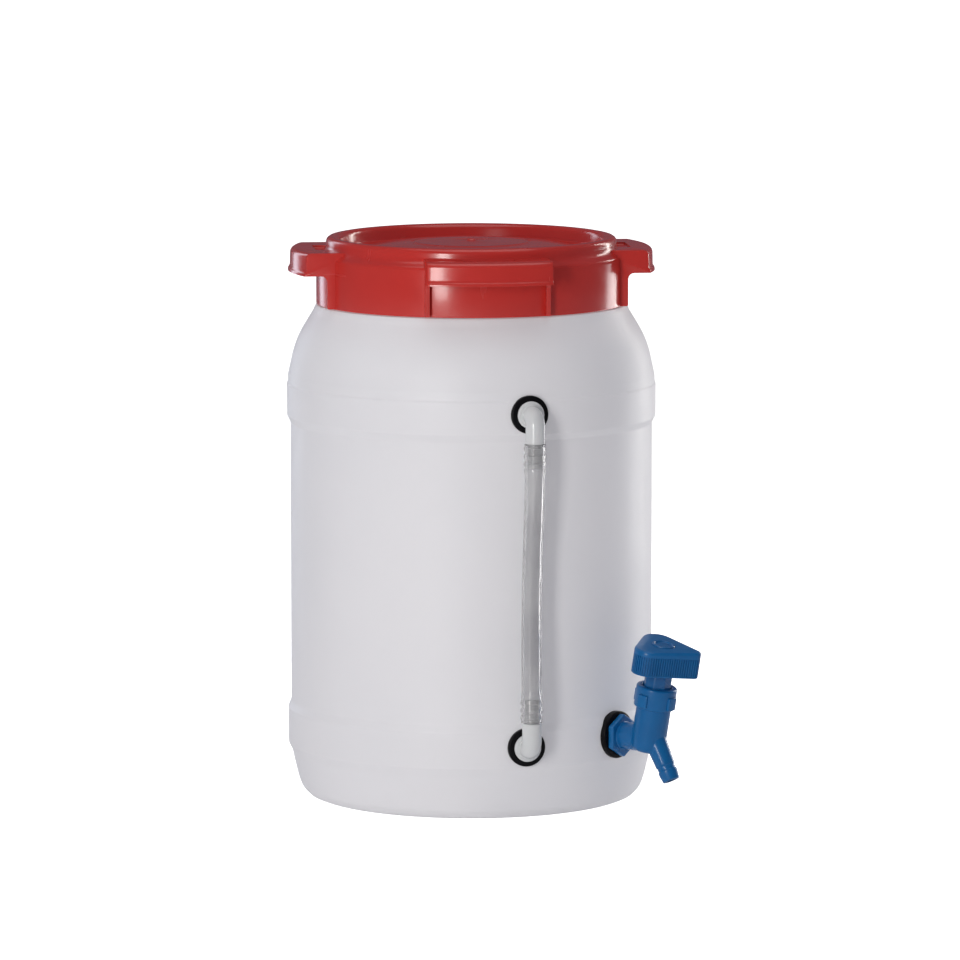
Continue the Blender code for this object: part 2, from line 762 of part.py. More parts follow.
def make_tap_body(blue, holder, stem):
    """The tap's body: shank, hexagon flange, inlet, leaning barrel and spout, all bored through."""
    inlet = [
        (0.0, TAP_SHANK_END),
        (TAP_SHANK_RADIUS - 0.0008, TAP_SHANK_END),
        (TAP_SHANK_RADIUS, TAP_SHANK_END + 0.0010),
        (TAP_SHANK_RADIUS, FLANGE_SEAT + 0.0010),
        (TAP_INLET_RADIUS, FLANGE_SEAT + 0.0020),
        (TAP_INLET_RADIUS, BARREL_FOOT.x),
        (0.0, BARREL_FOOT.x),
    ]
    level = lying(Vector((0.0, 0.0, TAP_HEIGHT)))
    body = add("tap_body", turned(inlet, FITTING_STEPS, level), blue, holder)
    sides = polygon(TAP_FLANGE_RADIUS, 6, math.radians(30.0))
    hexagon = prism(sides, FLANGE_SEAT, TAP_FLANGE_FRONT, TAP_FLANGE_BEVEL)
    bmesh.ops.transform(hexagon, matrix=level, verts=hexagon.verts)
    combine(body, add("tap_flange", hexagon, parent=holder), "UNION")
    barrel = [
        (0.0, TAP_BARREL_BOTTOM),
        (TAP_BARREL_RADIUS - 0.0020, TAP_BARREL_BOTTOM),
        (TAP_BARREL_RADIUS, TAP_BARREL_BOTTOM + 0.0020),
        (TAP_BARREL_RADIUS, TAP_BARREL_TOP),
        (0.0, TAP_BARREL_TOP),
    ]
    combine(body, add("tap_barrel", turned(barrel), parent=stem), "UNION")
    spout = turned(spout_outline(), SMALL_STEPS, along(SPOUT_START, SPOUT_END))
    combine(body, add("tap_spout", spout, parent=holder), "UNION")
    combine(body, tap_bores(holder, stem, level), "DIFFERENCE")


def tap_bores(holder, stem, level):
    """The cutter for the tap's water way: chamber, inlet bore and spout bore as one shape."""
    chamber = turned(disc_outline(CHAMBER_RADIUS, CHAMBER_BOTTOM, TAP_BARREL_TOP + 0.0100))
    bores = add("tap_bores", chamber, parent=stem)
    inlet = disc_outline(TAP_INLET_BORE, TAP_SHANK_END - 0.0100, BARREL_FOOT.x - 0.0010)
    inlet_bore = add("tap_inlet_bore", turned(inlet, SMALL_STEPS, level), parent=holder)
    combine(bores, inlet_bore, "UNION")
    length = (SPOUT_END - SPOUT_START).length
    spout = disc_outline(SPOUT_BORE, 0.0010, length + 0.0100)
    spout_bore = turned(spout, SMALL_STEPS, along(SPOUT_START, SPOUT_END))
    combine(bores, add("tap_spout_bore", spout_bore, parent=holder), "UNION")
    return bores


def make_tap_plug(dark_blue, rubber, stem):
    """The turning plug with its cross hole, ring groove, stem and spigot, and the ring in the groove."""
    low, high = PLUG_GROOVE
    outline = [
        (0.0, CHAMBER_BOTTOM + GAP),
        (PLUG_RADIUS, CHAMBER_BOTTOM + GAP),
        (PLUG_RADIUS, low),
        (PLUG_GROOVE_RADIUS, low),
        (PLUG_GROOVE_RADIUS, high),
        (PLUG_RADIUS, high),
        (PLUG_RADIUS, TAP_BARREL_TOP + GAP),
        (PLUG_HEAD_RADIUS, TAP_BARREL_TOP + GAP),
        (PLUG_HEAD_RADIUS, PLUG_HEAD_TOP),
        (0.0, PLUG_HEAD_TOP),
    ]
    plug = add("tap_plug", turned(outline), dark_blue, stem)
    corners = polygon(STEM_RADIUS, 8, math.radians(22.5))
    shaft = prism(corners, TAP_BARREL_TOP + 0.0015, KNOB_BOTTOM - GAP)
    combine(plug, add("tap_stem", shaft, parent=stem), "UNION")
    spigot = prism(polygon(SPIGOT_RADIUS, 6), KNOB_BOTTOM - 0.0020, KNOB_BOTTOM + 0.0080)
    combine(plug, add("tap_spigot", spigot, parent=stem), "UNION")
    screw_hole = turned(disc_outline(SCREW_HOLE_RADIUS, KNOB_BOTTOM - 0.0040, KNOB_TOP), SMALL_STEPS)
    combine(plug, add("plug_screw_hole", screw_hole, parent=stem), "DIFFERENCE")
    sideways = Matrix.Rotation(math.pi / 2, 4, "X")
    cross = turned(disc_outline(CROSS_HOLE_RADIUS, -0.0200, 0.0200), SMALL_STEPS, sideways)
    combine(plug, add("plug_cross_hole", cross, parent=stem), "DIFFERENCE")
    ring = ring_outline(PLUG_GROOVE_RADIUS + GAP, PLUG_RADIUS + 0.0001, low + GAP, high - GAP)
    add("tap_plug_ring", turned(ring), rubber, stem)


def make_tap_collar(blue, stem):
    """The ring screwed over the barrel's top, with four grip lobes."""
    outline = [
        (TAP_BARREL_RADIUS + GAP, COLLAR_BOTTOM),
        (COLLAR_RADIUS, COLLAR_BOTTOM),
        (COLLAR_RADIUS, COLLAR_TOP - COLLAR_CHAMFER),
        (COLLAR_RADIUS - COLLAR_CHAMFER, COLLAR_TOP),
        (STEM_RADIUS + 2.0 * GAP, COLLAR_TOP),
        (STEM_RADIUS + 2.0 * GAP, COLLAR_SHELF),
        (TAP_BARREL_RADIUS + GAP, COLLAR_SHELF),
    ]
    collar = add("tap_collar", turned(outline), blue, stem)
    low = (COLLAR_RADIUS - 0.0012, -LOBE_HALF_WIDTH, COLLAR_BOTTOM + 0.0012)
    high = (COLLAR_RADIUS + LOBE_RISE, LOBE_HALF_WIDTH, COLLAR_TOP - 0.0050)
    for index in range(LOBE_COUNT):
        holder = frame(f"lobe_frame_{index}", azimuth=index * 2.0 * math.pi / LOBE_COUNT, parent=stem)
        combine(collar, add(f"collar_lobe_{index}", box(low, high), parent=holder), "UNION")


def knob_outline():
    """The knob seen from above: a triangle with rounded corners, its sharpest one pointing out."""
    tip_reach, tip_radius = KNOB_TIP
    back_x, back_y, back_radius = KNOB_BACK_CORNER
    run = math.hypot(tip_reach - back_x, back_y)
    slope = math.degrees(math.atan2(tip_reach - back_x, back_y))
    toe_in = math.degrees(math.asin((back_radius - tip_radius) / run))
    flank = slope - toe_in
    corners = arc((tip_reach, 0.0), tip_radius, -flank, flank, 5)
    corners += arc((back_x, back_y), back_radius, flank, 180.0, 7)
    corners += arc((back_x, -back_y), back_radius, 180.0, 360.0 - flank, 7)
    turn = Matrix.Rotation(KNOB_TURN, 2)
    return [tuple(turn @ Vector(corner)) for corner in corners]


def make_tap_knob(blue, stem):
    """The knob, hollowed from above for its cap and screw and from below for the stem's spigot."""
    knob = add("tap_knob", prism(knob_outline(), KNOB_BOTTOM, KNOB_TOP, KNOB_BEVEL), blue, stem)
    hollow = [
        (0.0, KNOB_BOTTOM + 0.0083),
        (0.0022, KNOB_BOTTOM + 0.0083),
        (0.0022, KNOB_TOP - 0.0060),
        (SCREW_HEAD_RADIUS + 0.0005, KNOB_TOP - 0.0060),
        (SCREW_HEAD_RADIUS + 0.0005, KNOB_TOP - 0.0026),
        (CAP_RADIUS + GAP, KNOB_TOP - 0.0026),
        (CAP_RADIUS + GAP, KNOB_TOP + 0.0100),
        (0.0, KNOB_TOP + 0.0100),
    ]
    combine(knob, add("knob_screw_way", turned(hollow), parent=stem), "DIFFERENCE")
    socket = prism(polygon(KNOB_SOCKET_RADIUS, 6), KNOB_BOTTOM - 0.0100, KNOB_BOTTOM + 0.0088)
    combine(knob, add("knob_socket", socket, parent=stem), "DIFFERENCE")


def make_knob_fixings(dark_blue, steel, stem):
    """The screw that holds the knob on the stem, and the bare round cap over it."""
    screw = [
        (0.0, KNOB_BOTTOM - 0.0030),
        (SCREW_RADIUS, KNOB_BOTTOM - 0.0030),
        (SCREW_RADIUS, KNOB_TOP - 0.0057),
        (SCREW_HEAD_RADIUS, KNOB_TOP - 0.0057),
        (SCREW_HEAD_RADIUS, KNOB_TOP - 0.0038),
        (SCREW_HEAD_RADIUS - 0.0008, KNOB_TOP - 0.0031),
        (0.0, KNOB_TOP - 0.0031),
    ]
    add("tap_knob_screw", turned(screw, SMALL_STEPS), steel, stem)
    cap = [
        (0.0, KNOB_TOP - 0.0023),
        (CAP_RADIUS, KNOB_TOP - 0.0023),
        (CAP_RADIUS, KNOB_TOP + 0.0002),
        (CAP_RADIUS - 0.0006, KNOB_TOP + 0.0006),
        (CAP_RADIUS - 0.0014, KNOB_TOP + 0.0006),
        (CAP_RADIUS - 0.0018, KNOB_TOP + 0.0001),
        (0.0, KNOB_TOP + 0.0001),
    ]
    add("tap_knob_cap", turned(cap), dark_blue, stem)


def make_tap(finishes, skin, holder):
    """The draw-off tap and its fixings."""
    stem = frame("tap_stem_axis", place=BARREL_FOOT, lean=BARREL_LEAN, parent=holder)
    make_tap_body(finishes["blue"], holder, stem)
    bore = TAP_SHANK_RADIUS + GAP
    make_wall_ring("tap_gasket", holder, finishes["rubber"], skin, bore, TAP_RING_RADIUS, TAP_HEIGHT)
    seat = make_inner_washer(
        "tap_inner_washer",
        holder,
        finishes["rubber"],
        bore,
        TAP_WASHER_RADIUS,
        TAP_HEIGHT,
        TAP_WASHER_THICKNESS,
    )
    make_lock_nut(
        "tap_lock_nut",
        holder,
        finishes["blue"],
        bore,
        TAP_NUT_RADIUS,
        TAP_HEIGHT,
        seat,
        TAP_NUT_THICKNESS,
    )
    make_tap_plug(finishes["dark_blue"], finishes["rubber"], stem)
    make_tap_collar(finishes["blue"], stem)
    make_tap_knob(finishes["blue"], stem)
    make_knob_fixings(finishes["dark_blue"], finishes["steel"], stem)


# ---------------------------------------------------------------- whole


def make_finishes():
    """The materials of all pieces, by name."""
    return {
        "white": finish("natural_polyethylene", (0.72, 0.71, 0.72), 0.45),
        "red": finish("red_polypropylene", (0.50, 0.030, 0.025), 0.22),
        "fitting": finish("white_polypropylene", (0.66, 0.67, 0.67), 0.35),
        "clear": finish("clear_hose", (0.55, 0.56, 0.57), 0.12),
        "rubber": finish("black_rubber", (0.012, 0.012, 0.014), 0.55),
        "blue": finish("blue_polypropylene", (0.020, 0.125, 0.33), 0.32),
        "dark_blue": finish("dark_blue_polypropylene", (0.016, 0.10, 0.27), 0.30),
        "steel": finish("stainless_steel", (0.60, 0.60, 0.58), 0.30, 1.0),
    }


def main():
    """Builds the whole part."""
    clear_scene()
    finishes = make_finishes()
    upper = wall_frame("upper_gauge_frame", UPPER_AZIMUTH)
    lower = wall_frame("lower_gauge_frame", LOWER_AZIMUTH)
    tap = wall_frame("tap_frame", TAP_AZIMUTH)
    skin = wall_skin()
    make_drum(finishes["white"], upper, lower, tap)
    make_lid(finishes["red"])
    make_lid_seal(finishes["rubber"])
    make_gauge(finishes, skin, upper, lower)
    make_tap(finishes, skin, tap)


main()
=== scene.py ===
"""Dressed scene of a wide-neck plastic drum with a screw lid, a level gauge and a draw-off tap.

Everything is in metres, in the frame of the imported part: the drum stands on Z = 0 with its axis on Z.
A fitting on the wall is modelled in a frame of its own, in which +X points out of the wall, +Y to the
right as seen from outside, and +Z up; its pieces are then turned into place and their turn applied.
"""

import json
import logging
import math
from collections.abc import Callable, Sequence
from dataclasses import dataclass, field
from enum import Enum

import bmesh
import bpy
from mathutils import Matrix, Vector

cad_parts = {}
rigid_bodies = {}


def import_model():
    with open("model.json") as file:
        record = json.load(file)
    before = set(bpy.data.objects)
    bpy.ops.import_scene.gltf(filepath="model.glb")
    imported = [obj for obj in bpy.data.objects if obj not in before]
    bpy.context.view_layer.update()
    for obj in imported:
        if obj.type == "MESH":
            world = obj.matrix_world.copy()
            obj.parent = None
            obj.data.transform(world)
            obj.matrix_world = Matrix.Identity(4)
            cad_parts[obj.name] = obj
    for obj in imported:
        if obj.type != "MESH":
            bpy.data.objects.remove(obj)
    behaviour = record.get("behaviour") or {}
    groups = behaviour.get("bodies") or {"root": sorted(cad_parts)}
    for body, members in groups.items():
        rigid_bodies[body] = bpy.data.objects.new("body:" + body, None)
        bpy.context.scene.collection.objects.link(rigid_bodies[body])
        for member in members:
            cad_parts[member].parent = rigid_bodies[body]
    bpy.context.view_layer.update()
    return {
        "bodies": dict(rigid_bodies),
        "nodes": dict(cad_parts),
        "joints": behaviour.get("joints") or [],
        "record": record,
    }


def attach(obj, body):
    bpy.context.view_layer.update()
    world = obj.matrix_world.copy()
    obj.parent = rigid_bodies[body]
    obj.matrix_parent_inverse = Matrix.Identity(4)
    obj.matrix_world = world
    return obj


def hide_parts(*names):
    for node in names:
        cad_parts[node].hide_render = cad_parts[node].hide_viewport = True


LOG = logging.getLogger("drum_scene")
SAME_PLACE = 1e-5
MERGE = 2e-6
GAP = 0.0003
FULL_TURN = 2.0 * math.pi
QUARTER_TURN = math.pi / 2
SMOOTH_ANGLE = math.radians(32.0)

Corner = tuple[float, ...]
Test = Callable[[Vector, Vector], bool]


class Kind(Enum):
    """What a selection picks."""

    VERTICES = "VERT"
    EDGES = "EDGE"
    FACES = "FACE"


class Way(Enum):
    """Which way an elbow's hose tail points."""

    DOWN = -1.0
    UP = 1.0


# ---------------------------------------------------------------- modelling by hand


def let_go() -> None:
    """Leaves edit mode and deselects everything."""
    if bpy.context.object and bpy.context.object.mode != "OBJECT":
        bpy.ops.object.mode_set(mode="OBJECT")
    bpy.ops.object.select_all(action="DESELECT")


def lying(point: Vector = Vector()) -> Matrix:
    """Turns a shape made about Z so that it lies along +X from a point.

    Args:
        point: where the shape's origin goes.

    Returns:
        The placing matrix.
    """
    return Matrix.Translation(point) @ Matrix.Rotation(QUARTER_TURN, 4, "Y")


def wall_turn(azimuth: float) -> Matrix:
    """The frame of a wall fitting; azimuth 0 faces -Y and grows towards +X."""
    return Matrix.Rotation(azimuth - QUARTER_TURN, 4, "Z")


def flowing(points: Sequence[Corner], cuts: int) -> list[Corner]:
    """Puts a smooth curve through points.

    Args:
        points: (radius, height) points that the curve passes through.
        cuts: how many points are added between two of them.

    Returns:
        The curve's points, ends included.
    """
    path = [Vector(point) for point in points]
    path = [2.0 * path[0] - path[1], *path, 2.0 * path[-1] - path[-2]]
    curve = []
    for before, start, end, after in zip(path, path[1:], path[2:], path[3:]):
        for index in range(cuts + 1):
            t = index / (cuts + 1)
            bend = 2.0 * before - 5.0 * start + 4.0 * end - after
            twist = 3.0 * start - before - 3.0 * end + after
            place = start + 0.5 * t * (end - before + t * (bend + t * twist))
            curve.append(tuple(place))
    return [*curve, tuple(path[-2])]


class Shape:
    """A mesh while it is modelled in edit mode; its selections are made in code.

    Attributes:
        thing: the Blender object that holds the mesh.
    """

    def __init__(self, name: str) -> None:
        """Takes the object that an operator has just added.

        Args:
            name: the piece's name.
        """
        self.thing = bpy.context.object
        self.thing.name = name
        self.thing.data.name = name

    @classmethod
    def ring(cls, name: str, radius: float, sides: int, turn: Matrix = Matrix.Identity(4)) -> "Shape":
        """Starts from an open circle.

        Args:
            name: the piece's name.
            radius: the circle's radius.
            sides: how many edges it has.
            turn: places the circle, which is made about Z.

        Returns:
            The shape, in edit mode, with the circle selected.
        """
        let_go()
        bpy.ops.mesh.primitive_circle_add(vertices=sides, radius=radius, fill_type="NOTHING")
        shape = cls(name)
        shape.place(turn)
        shape.open()
        bpy.ops.mesh.select_all(action="SELECT")
        return shape

    @classmethod
    def line(cls, name: str, corners: Sequence[Corner], cuts: int = 4) -> "Shape":
        """Draws a section in the XZ plane, corner by corner, and rounds its corners.

        Args:
            name: the piece's name.
            corners: (radius, height) or (radius, height, rounding) of each corner.
            cuts: how many edges a rounding has.

        Returns:
            The shape, in edit mode, with the whole line selected.
        """
        let_go()
        bpy.ops.mesh.primitive_plane_add(size=1.0)
        shape = cls(name)
        shape.open()
        places = [Vector((corner[0], 0.0, corner[1])) for corner in corners]
        shape.pick(Kind.VERTICES, lambda place, _: place.x > 0.0 or place.y > 0.0)
        bpy.ops.mesh.delete(type="VERT")
        bpy.ops.mesh.select_all(action="SELECT")
        bpy.ops.transform.translate(value=places[0] - Vector((-0.5, -0.5, 0.0)))
        for start, end in zip(places, places[1:]):
            shape.push(end - start)
        for rounding in sorted({corner[2] for corner in corners if len(corner) > 2}):
            rounded = [place for place, corner in zip(places, corners) if corner[2:] == (rounding,)]
            shape.pick(Kind.VERTICES, near(rounded))
            bpy.ops.mesh.bevel(offset=rounding, segments=cuts, affect="VERTICES")
        bpy.ops.mesh.select_all(action="SELECT")
        return shape

    @classmethod
    def turned(cls, name: str, corners: Sequence[Corner], steps: int, cuts: int = 4) -> "Shape":
        """Turns a section about Z. A section that doesn't start on the axis is closed first.

        Args:
            name: the piece's name.
            corners: the section, as in line().
            steps: how many steps a full turn has.
            cuts: how many edges a rounding has.

        Returns:
            The closed shape, in object mode.
        """
        shape = cls.line(name, corners, cuts)
        if corners[0][0] > 0.0:
            ends = [Vector((corner[0], 0.0, corner[1])) for corner in (corners[0], corners[-1])]
            shape.pick(Kind.VERTICES, near(ends))
            bpy.ops.mesh.edge_face_add()
            bpy.ops.mesh.select_all(action="SELECT")
        bpy.ops.mesh.spin(steps=steps, angle=FULL_TURN, center=(0.0, 0.0, 0.0), axis=(0.0, 0.0, 1.0))
        shape.seal()
        return shape

    @classmethod
    def prism(cls, name: str, corners: Sequence[Corner], cuts: int = 4) -> "Shape":
        """Fills a closed outline in the XZ plane with one face.

        Args:
            name: the piece's name.
            corners: the outline, as in line().
            cuts: how many edges a rounding has.

        Returns:
            The shape, in edit mode, with the face selected.
        """
        shape = cls.line(name, corners, cuts)
        bpy.ops.mesh.edge_face_add()
        bpy.ops.mesh.select_mode(type="FACE")
        bpy.ops.mesh.select_all(action="SELECT")
        return shape

    @classmethod
    def block(cls, name: str, low: Sequence[float], high: Sequence[float]) -> "Shape":
        """Starts from a box between two corners.

        Args:
            name: the piece's name.
            low: the lowest corner.
            high: the highest corner.

        Returns:
            The shape, in object mode.
        """
        let_go()
        bpy.ops.mesh.primitive_cube_add(size=1.0)
        shape = cls(name)
        size = Vector(high) - Vector(low)
        middle = (Vector(high) + Vector(low)) / 2.0
        shape.place(Matrix.Translation(middle) @ Matrix.Diagonal((*size, 1.0)))
        return shape

    def open(self) -> None:
        """Goes into edit mode on this shape alone."""
        let_go()
        self.thing.select_set(True)
        bpy.context.view_layer.objects.active = self.thing
        bpy.ops.object.mode_set(mode="EDIT")

    def pick(self, kind: Kind, test: Test) -> None:
        """Selects what passes a test, and deselects the rest.

        Args:
            kind: vertices, edges or faces.
            test: takes an element's middle and its normal; an edge has its direction for a normal.
        """
        bpy.ops.mesh.select_mode(type=kind.value)
        bpy.ops.mesh.select_all(action="DESELECT")
        mesh = bmesh.from_edit_mesh(self.thing.data)
        if kind is Kind.VERTICES:
            rows = [(vertex, vertex.co, vertex.normal) for vertex in mesh.verts]
        elif kind is Kind.EDGES:
            ends = [(edge, edge.verts[0].co, edge.verts[1].co) for edge in mesh.edges]
            rows = [(edge, (a + b) / 2.0, (b - a).normalized()) for edge, a, b in ends]
        else:
            rows = [(face, face.calc_center_median(), face.normal) for face in mesh.faces]
        for element, place, facing in rows:
            element.select_set(test(place, facing))
        mesh.select_flush_mode()
        bmesh.update_edit_mesh(self.thing.data)

    def push(self, step: Vector) -> None:
        """Extrudes what is selected by a step."""
        bpy.ops.mesh.extrude_region_move(TRANSFORM_OT_translate={"value": step})

    def seal(self) -> None:
        """Merges doubles, turns all faces outwards and leaves edit mode."""
        bpy.ops.mesh.select_all(action="SELECT")
        bpy.ops.mesh.remove_doubles(threshold=MERGE)
        bpy.ops.mesh.normals_make_consistent(inside=False)
        let_go()

    def place(self, turn: Matrix) -> None:
        """Moves the mesh by a matrix and leaves the object at the origin."""
        let_go()
        self.thing.matrix_world = turn
        self.thing.select_set(True)
        bpy.context.view_layer.objects.active = self.thing
        bpy.ops.object.transform_apply(location=True, rotation=True, scale=True)

    def copy(self, name: str, turn: Matrix) -> "Shape":
        """Copies the shape with a mesh of its own, and places the copy.

        Args:
            name: the copy's name.
            turn: the matrix that places it.

        Returns:
            The copy.
        """
        let_go()
        self.thing.select_set(True)
        bpy.context.view_layer.objects.active = self.thing
        bpy.ops.object.duplicate(linked=False)
        made = Shape(name)
        made.place(turn)
        return made

    def take_in(self, others: Sequence["Shape"]) -> None:
        """Joins other meshes to this one as they are."""
        let_go()
        for other in others:
            other.thing.select_set(True)
        self.thing.select_set(True)
        bpy.context.view_layer.objects.active = self.thing
        bpy.ops.object.join()

    def modify(self, kind: str, **values: object) -> None:
        """Adds a modifier and applies it.

        Args:
            kind: the modifier's type.
            **values: its settings.
        """
        let_go()
        self.thing.select_set(True)
        bpy.context.view_layer.objects.active = self.thing
        modifier = self.thing.modifiers.new(kind.lower(), kind)
        for setting, value in values.items():
            setattr(modifier, setting, value)
        bpy.ops.object.modifier_apply(modifier=modifier.name)

    def combine(self, tool: "Shape", operation: str) -> None:
        """Joins a tool to the shape or cuts it away, and removes the tool.

        Args:
            tool: the other closed shape.
            operation: UNION or DIFFERENCE.
        """
        self.modify("BOOLEAN", object=tool.thing, operation=operation, solver="MANIFOLD")
        bpy.data.objects.remove(tool.thing)

    def bevel(self, width: float, segments: int = 3, angle: float = 40.0) -> None:
        """Rounds every edge that is sharper than an angle in degrees."""
        limit = math.radians(angle)
        self.modify("BEVEL", width=width, segments=segments, limit_method="ANGLE", angle_limit=limit)

    def dress(self, finish: bpy.types.Material, body: str, slot: str, *nodes: str) -> None:
        """Gives the finished piece its material and ties it to the part.

        Args:
            finish: its material.
            body: the body that it rides on.
            slot: the record's material slot; not used.
            *nodes: the nodes that it stands for.
        """
        let_go()
        self.thing.select_set(True)
        bpy.context.view_layer.objects.active = self.thing
        bpy.ops.object.shade_smooth_by_angle(angle=SMOOTH_ANGLE)
        self.thing.data.materials.clear()
        self.thing.data.materials.append(finish)
        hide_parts(*nodes)
        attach(self.thing, body)
        LOG.info("%s: %d faces, rides on %s", self.thing.name, len(self.thing.data.polygons), body)


def near(places: Sequence[Vector]) -> Test:
    """A test that passes what lies on one of these places."""
    return lambda place, _: any((place - other).length < SAME_PLACE for other in places)


class RingWalk:
    """A tube modelled by walking one ring of edges along its route.

    Attributes:
        shape: the tube so far.
        centre: where the ring is now.
        radius: the ring's radius now.
    """

    def __init__(self, name: str, centre: Vector, direction: Vector, radius: float, sides: int) -> None:
        """Starts with a ring square to a direction that isn't -X.

        Args:
            name: the piece's name.
            centre: the first ring's centre.
            direction: the way that it faces.
            radius: its radius.
            sides: how many edges it has.
        """
        turn = direction.to_track_quat("Z", "Y").to_matrix().to_4x4()
        self.shape = Shape.ring(name, radius, sides, Matrix.Translation(centre) @ turn)
        self.centre = centre.copy()
        self.radius = radius

    def go(self, step: Vector, radius: float | None = None) -> None:
        """Extrudes the ring by a step, and then to another radius if one is given."""
        self.shape.push(step)
        self.centre += step
        if radius is not None:
            self.scale_to(radius)

    def widen(self, radius: float) -> None:
        """Extrudes the ring in its own plane to another radius."""
        self.go(Vector(), radius)

    def scale_to(self, radius: float) -> None:
        """Scales the ring about its centre."""
        factor = radius / self.radius
        bpy.ops.transform.resize(value=(factor, factor, factor), center_override=self.centre)
        self.radius = radius

    def swing(self, pivot: Vector, angle: float, steps: int) -> None:
        """Turns the ring about an axis along Y, as a bend of the tube.

        Args:
            pivot: a point on the axis.
            angle: the turn, right-handed about +Y.
            steps: how many rings it takes.
        """
        bpy.ops.mesh.spin(steps=steps, angle=-angle, center=pivot, axis=(0.0, 1.0, 0.0))
        self.centre = pivot + Matrix.Rotation(angle, 3, "Y") @ (self.centre - pivot)

    def close(self) -> Shape:
        """Joins the last ring to the first one, which lies round it, and seals the tube.

        Returns:
            The closed tube.
        """
        bpy.ops.mesh.select_mode(type="EDGE")
        bpy.ops.mesh.select_all(action="DESELECT")
        bpy.ops.mesh.select_non_manifold()
        bpy.ops.mesh.bridge_edge_loops()
        self.shape.seal()
        return self.shape


# ---------------------------------------------------------------- finishes


class Wiring:
    """Adds nodes to a tree and joins them.

    Attributes:
        tree: the node tree.
    """

    def __init__(self, tree: bpy.types.NodeTree) -> None:
        """Takes an empty node tree."""
        self.tree = tree

    def add(self, kind: str, settings: dict[str, object] | None = None, **inputs: object) -> bpy.types.Node:
        """Adds a node.

        Args:
            kind: the node's type.
            settings: its own properties.
            **inputs: values or sockets for its inputs, by name, with _ for a space.

        Returns:
            The node.
        """
        node = self.tree.nodes.new(kind)
        for name, value in (settings or {}).items():
            setattr(node, name, value)
        for name, value in inputs.items():
            self.feed(node.inputs[name.replace("_", " ")], value)
        return node

    def feed(self, socket: bpy.types.NodeSocket, value: object) -> None:
        """Links a socket to another, or sets its value."""
        if isinstance(value, bpy.types.NodeSocket):
            self.tree.links.new(value, socket)
        elif isinstance(value, tuple) and len(value) == 3 and socket.type == "RGBA":
            socket.default_value = (*value, 1.0)
        else:
            socket.default_value = value

    def maths(self, operation: str, *values: object) -> bpy.types.NodeSocket:
        """Adds a Math node and returns its result."""
        node = self.add("ShaderNodeMath", {"operation": operation})
        for socket, value in zip(node.inputs, values):
            self.feed(socket, value)
        return node.outputs[0]

    def fade(
        self, value: object, low: float, high: float, out_low: float, out_high: float
    ) -> bpy.types.NodeSocket:
        """Adds a Map Range node and returns its result."""
        node = self.add("ShaderNodeMapRange", {"interpolation_type": "SMOOTHSTEP"})
        for socket, number in zip(node.inputs, (value, low, high, out_low, out_high)):
            self.feed(socket, number)
        return node.outputs["Result"]

    def blend(self, share: object, first: object, second: object) -> bpy.types.NodeSocket:
        """Adds a Mix node for colours and returns its result."""
        node = self.add("ShaderNodeMix", {"data_type": "RGBA"})
        self.feed(node.inputs["Factor"], share)
        self.feed(node.inputs["A"], first)
        self.feed(node.inputs["B"], second)
        return node.outputs["Result"]

    def noise(
        self, scale: object, detail: float, stretch: Sequence[float] = (1.0, 1.0, 1.0)
    ) -> bpy.types.NodeSocket:
        """Adds noise in the piece's own coordinates and returns its value."""
        place = self.add("ShaderNodeTexCoord").outputs["Object"]
        if tuple(stretch) != (1.0, 1.0, 1.0):
            place = self.add("ShaderNodeMapping", None, Vector=place, Scale=tuple(stretch)).outputs["Vector"]
        node = self.add("ShaderNodeTexNoise", None, Vector=place, Scale=scale, Detail=detail)
        return node.outputs["Fac"]


@dataclass(frozen=True)
class GroupSocket:
    """A named socket of a node group.

    Attributes:
        name: its name.
        kind: its socket type.
        value: the value that an input starts with.
    """

    name: str
    kind: str = "NodeSocketFloat"
    value: object = None


def new_group(name: str, inputs: Sequence[GroupSocket], outputs: Sequence[GroupSocket]) -> tuple:
    """Makes an empty shader group.

    Args:
        name: the group's name.
        inputs: its input sockets.
        outputs: its output sockets.

    Returns:
        The group, its wiring, its input node's sockets and its output node's sockets.
    """
    group = bpy.data.node_groups.new(name, "ShaderNodeTree")
    for way, sockets in (("INPUT", inputs), ("OUTPUT", outputs)):
        for socket in sockets:
            made = group.interface.new_socket(name=socket.name, in_out=way, socket_type=socket.kind)
            if socket.value is not None:
                made.default_value = socket.value
    wiring = Wiring(group)
    entry = wiring.add("NodeGroupInput")
    leave = wiring.add("NodeGroupOutput")
    return group, wiring, entry.outputs, leave.inputs


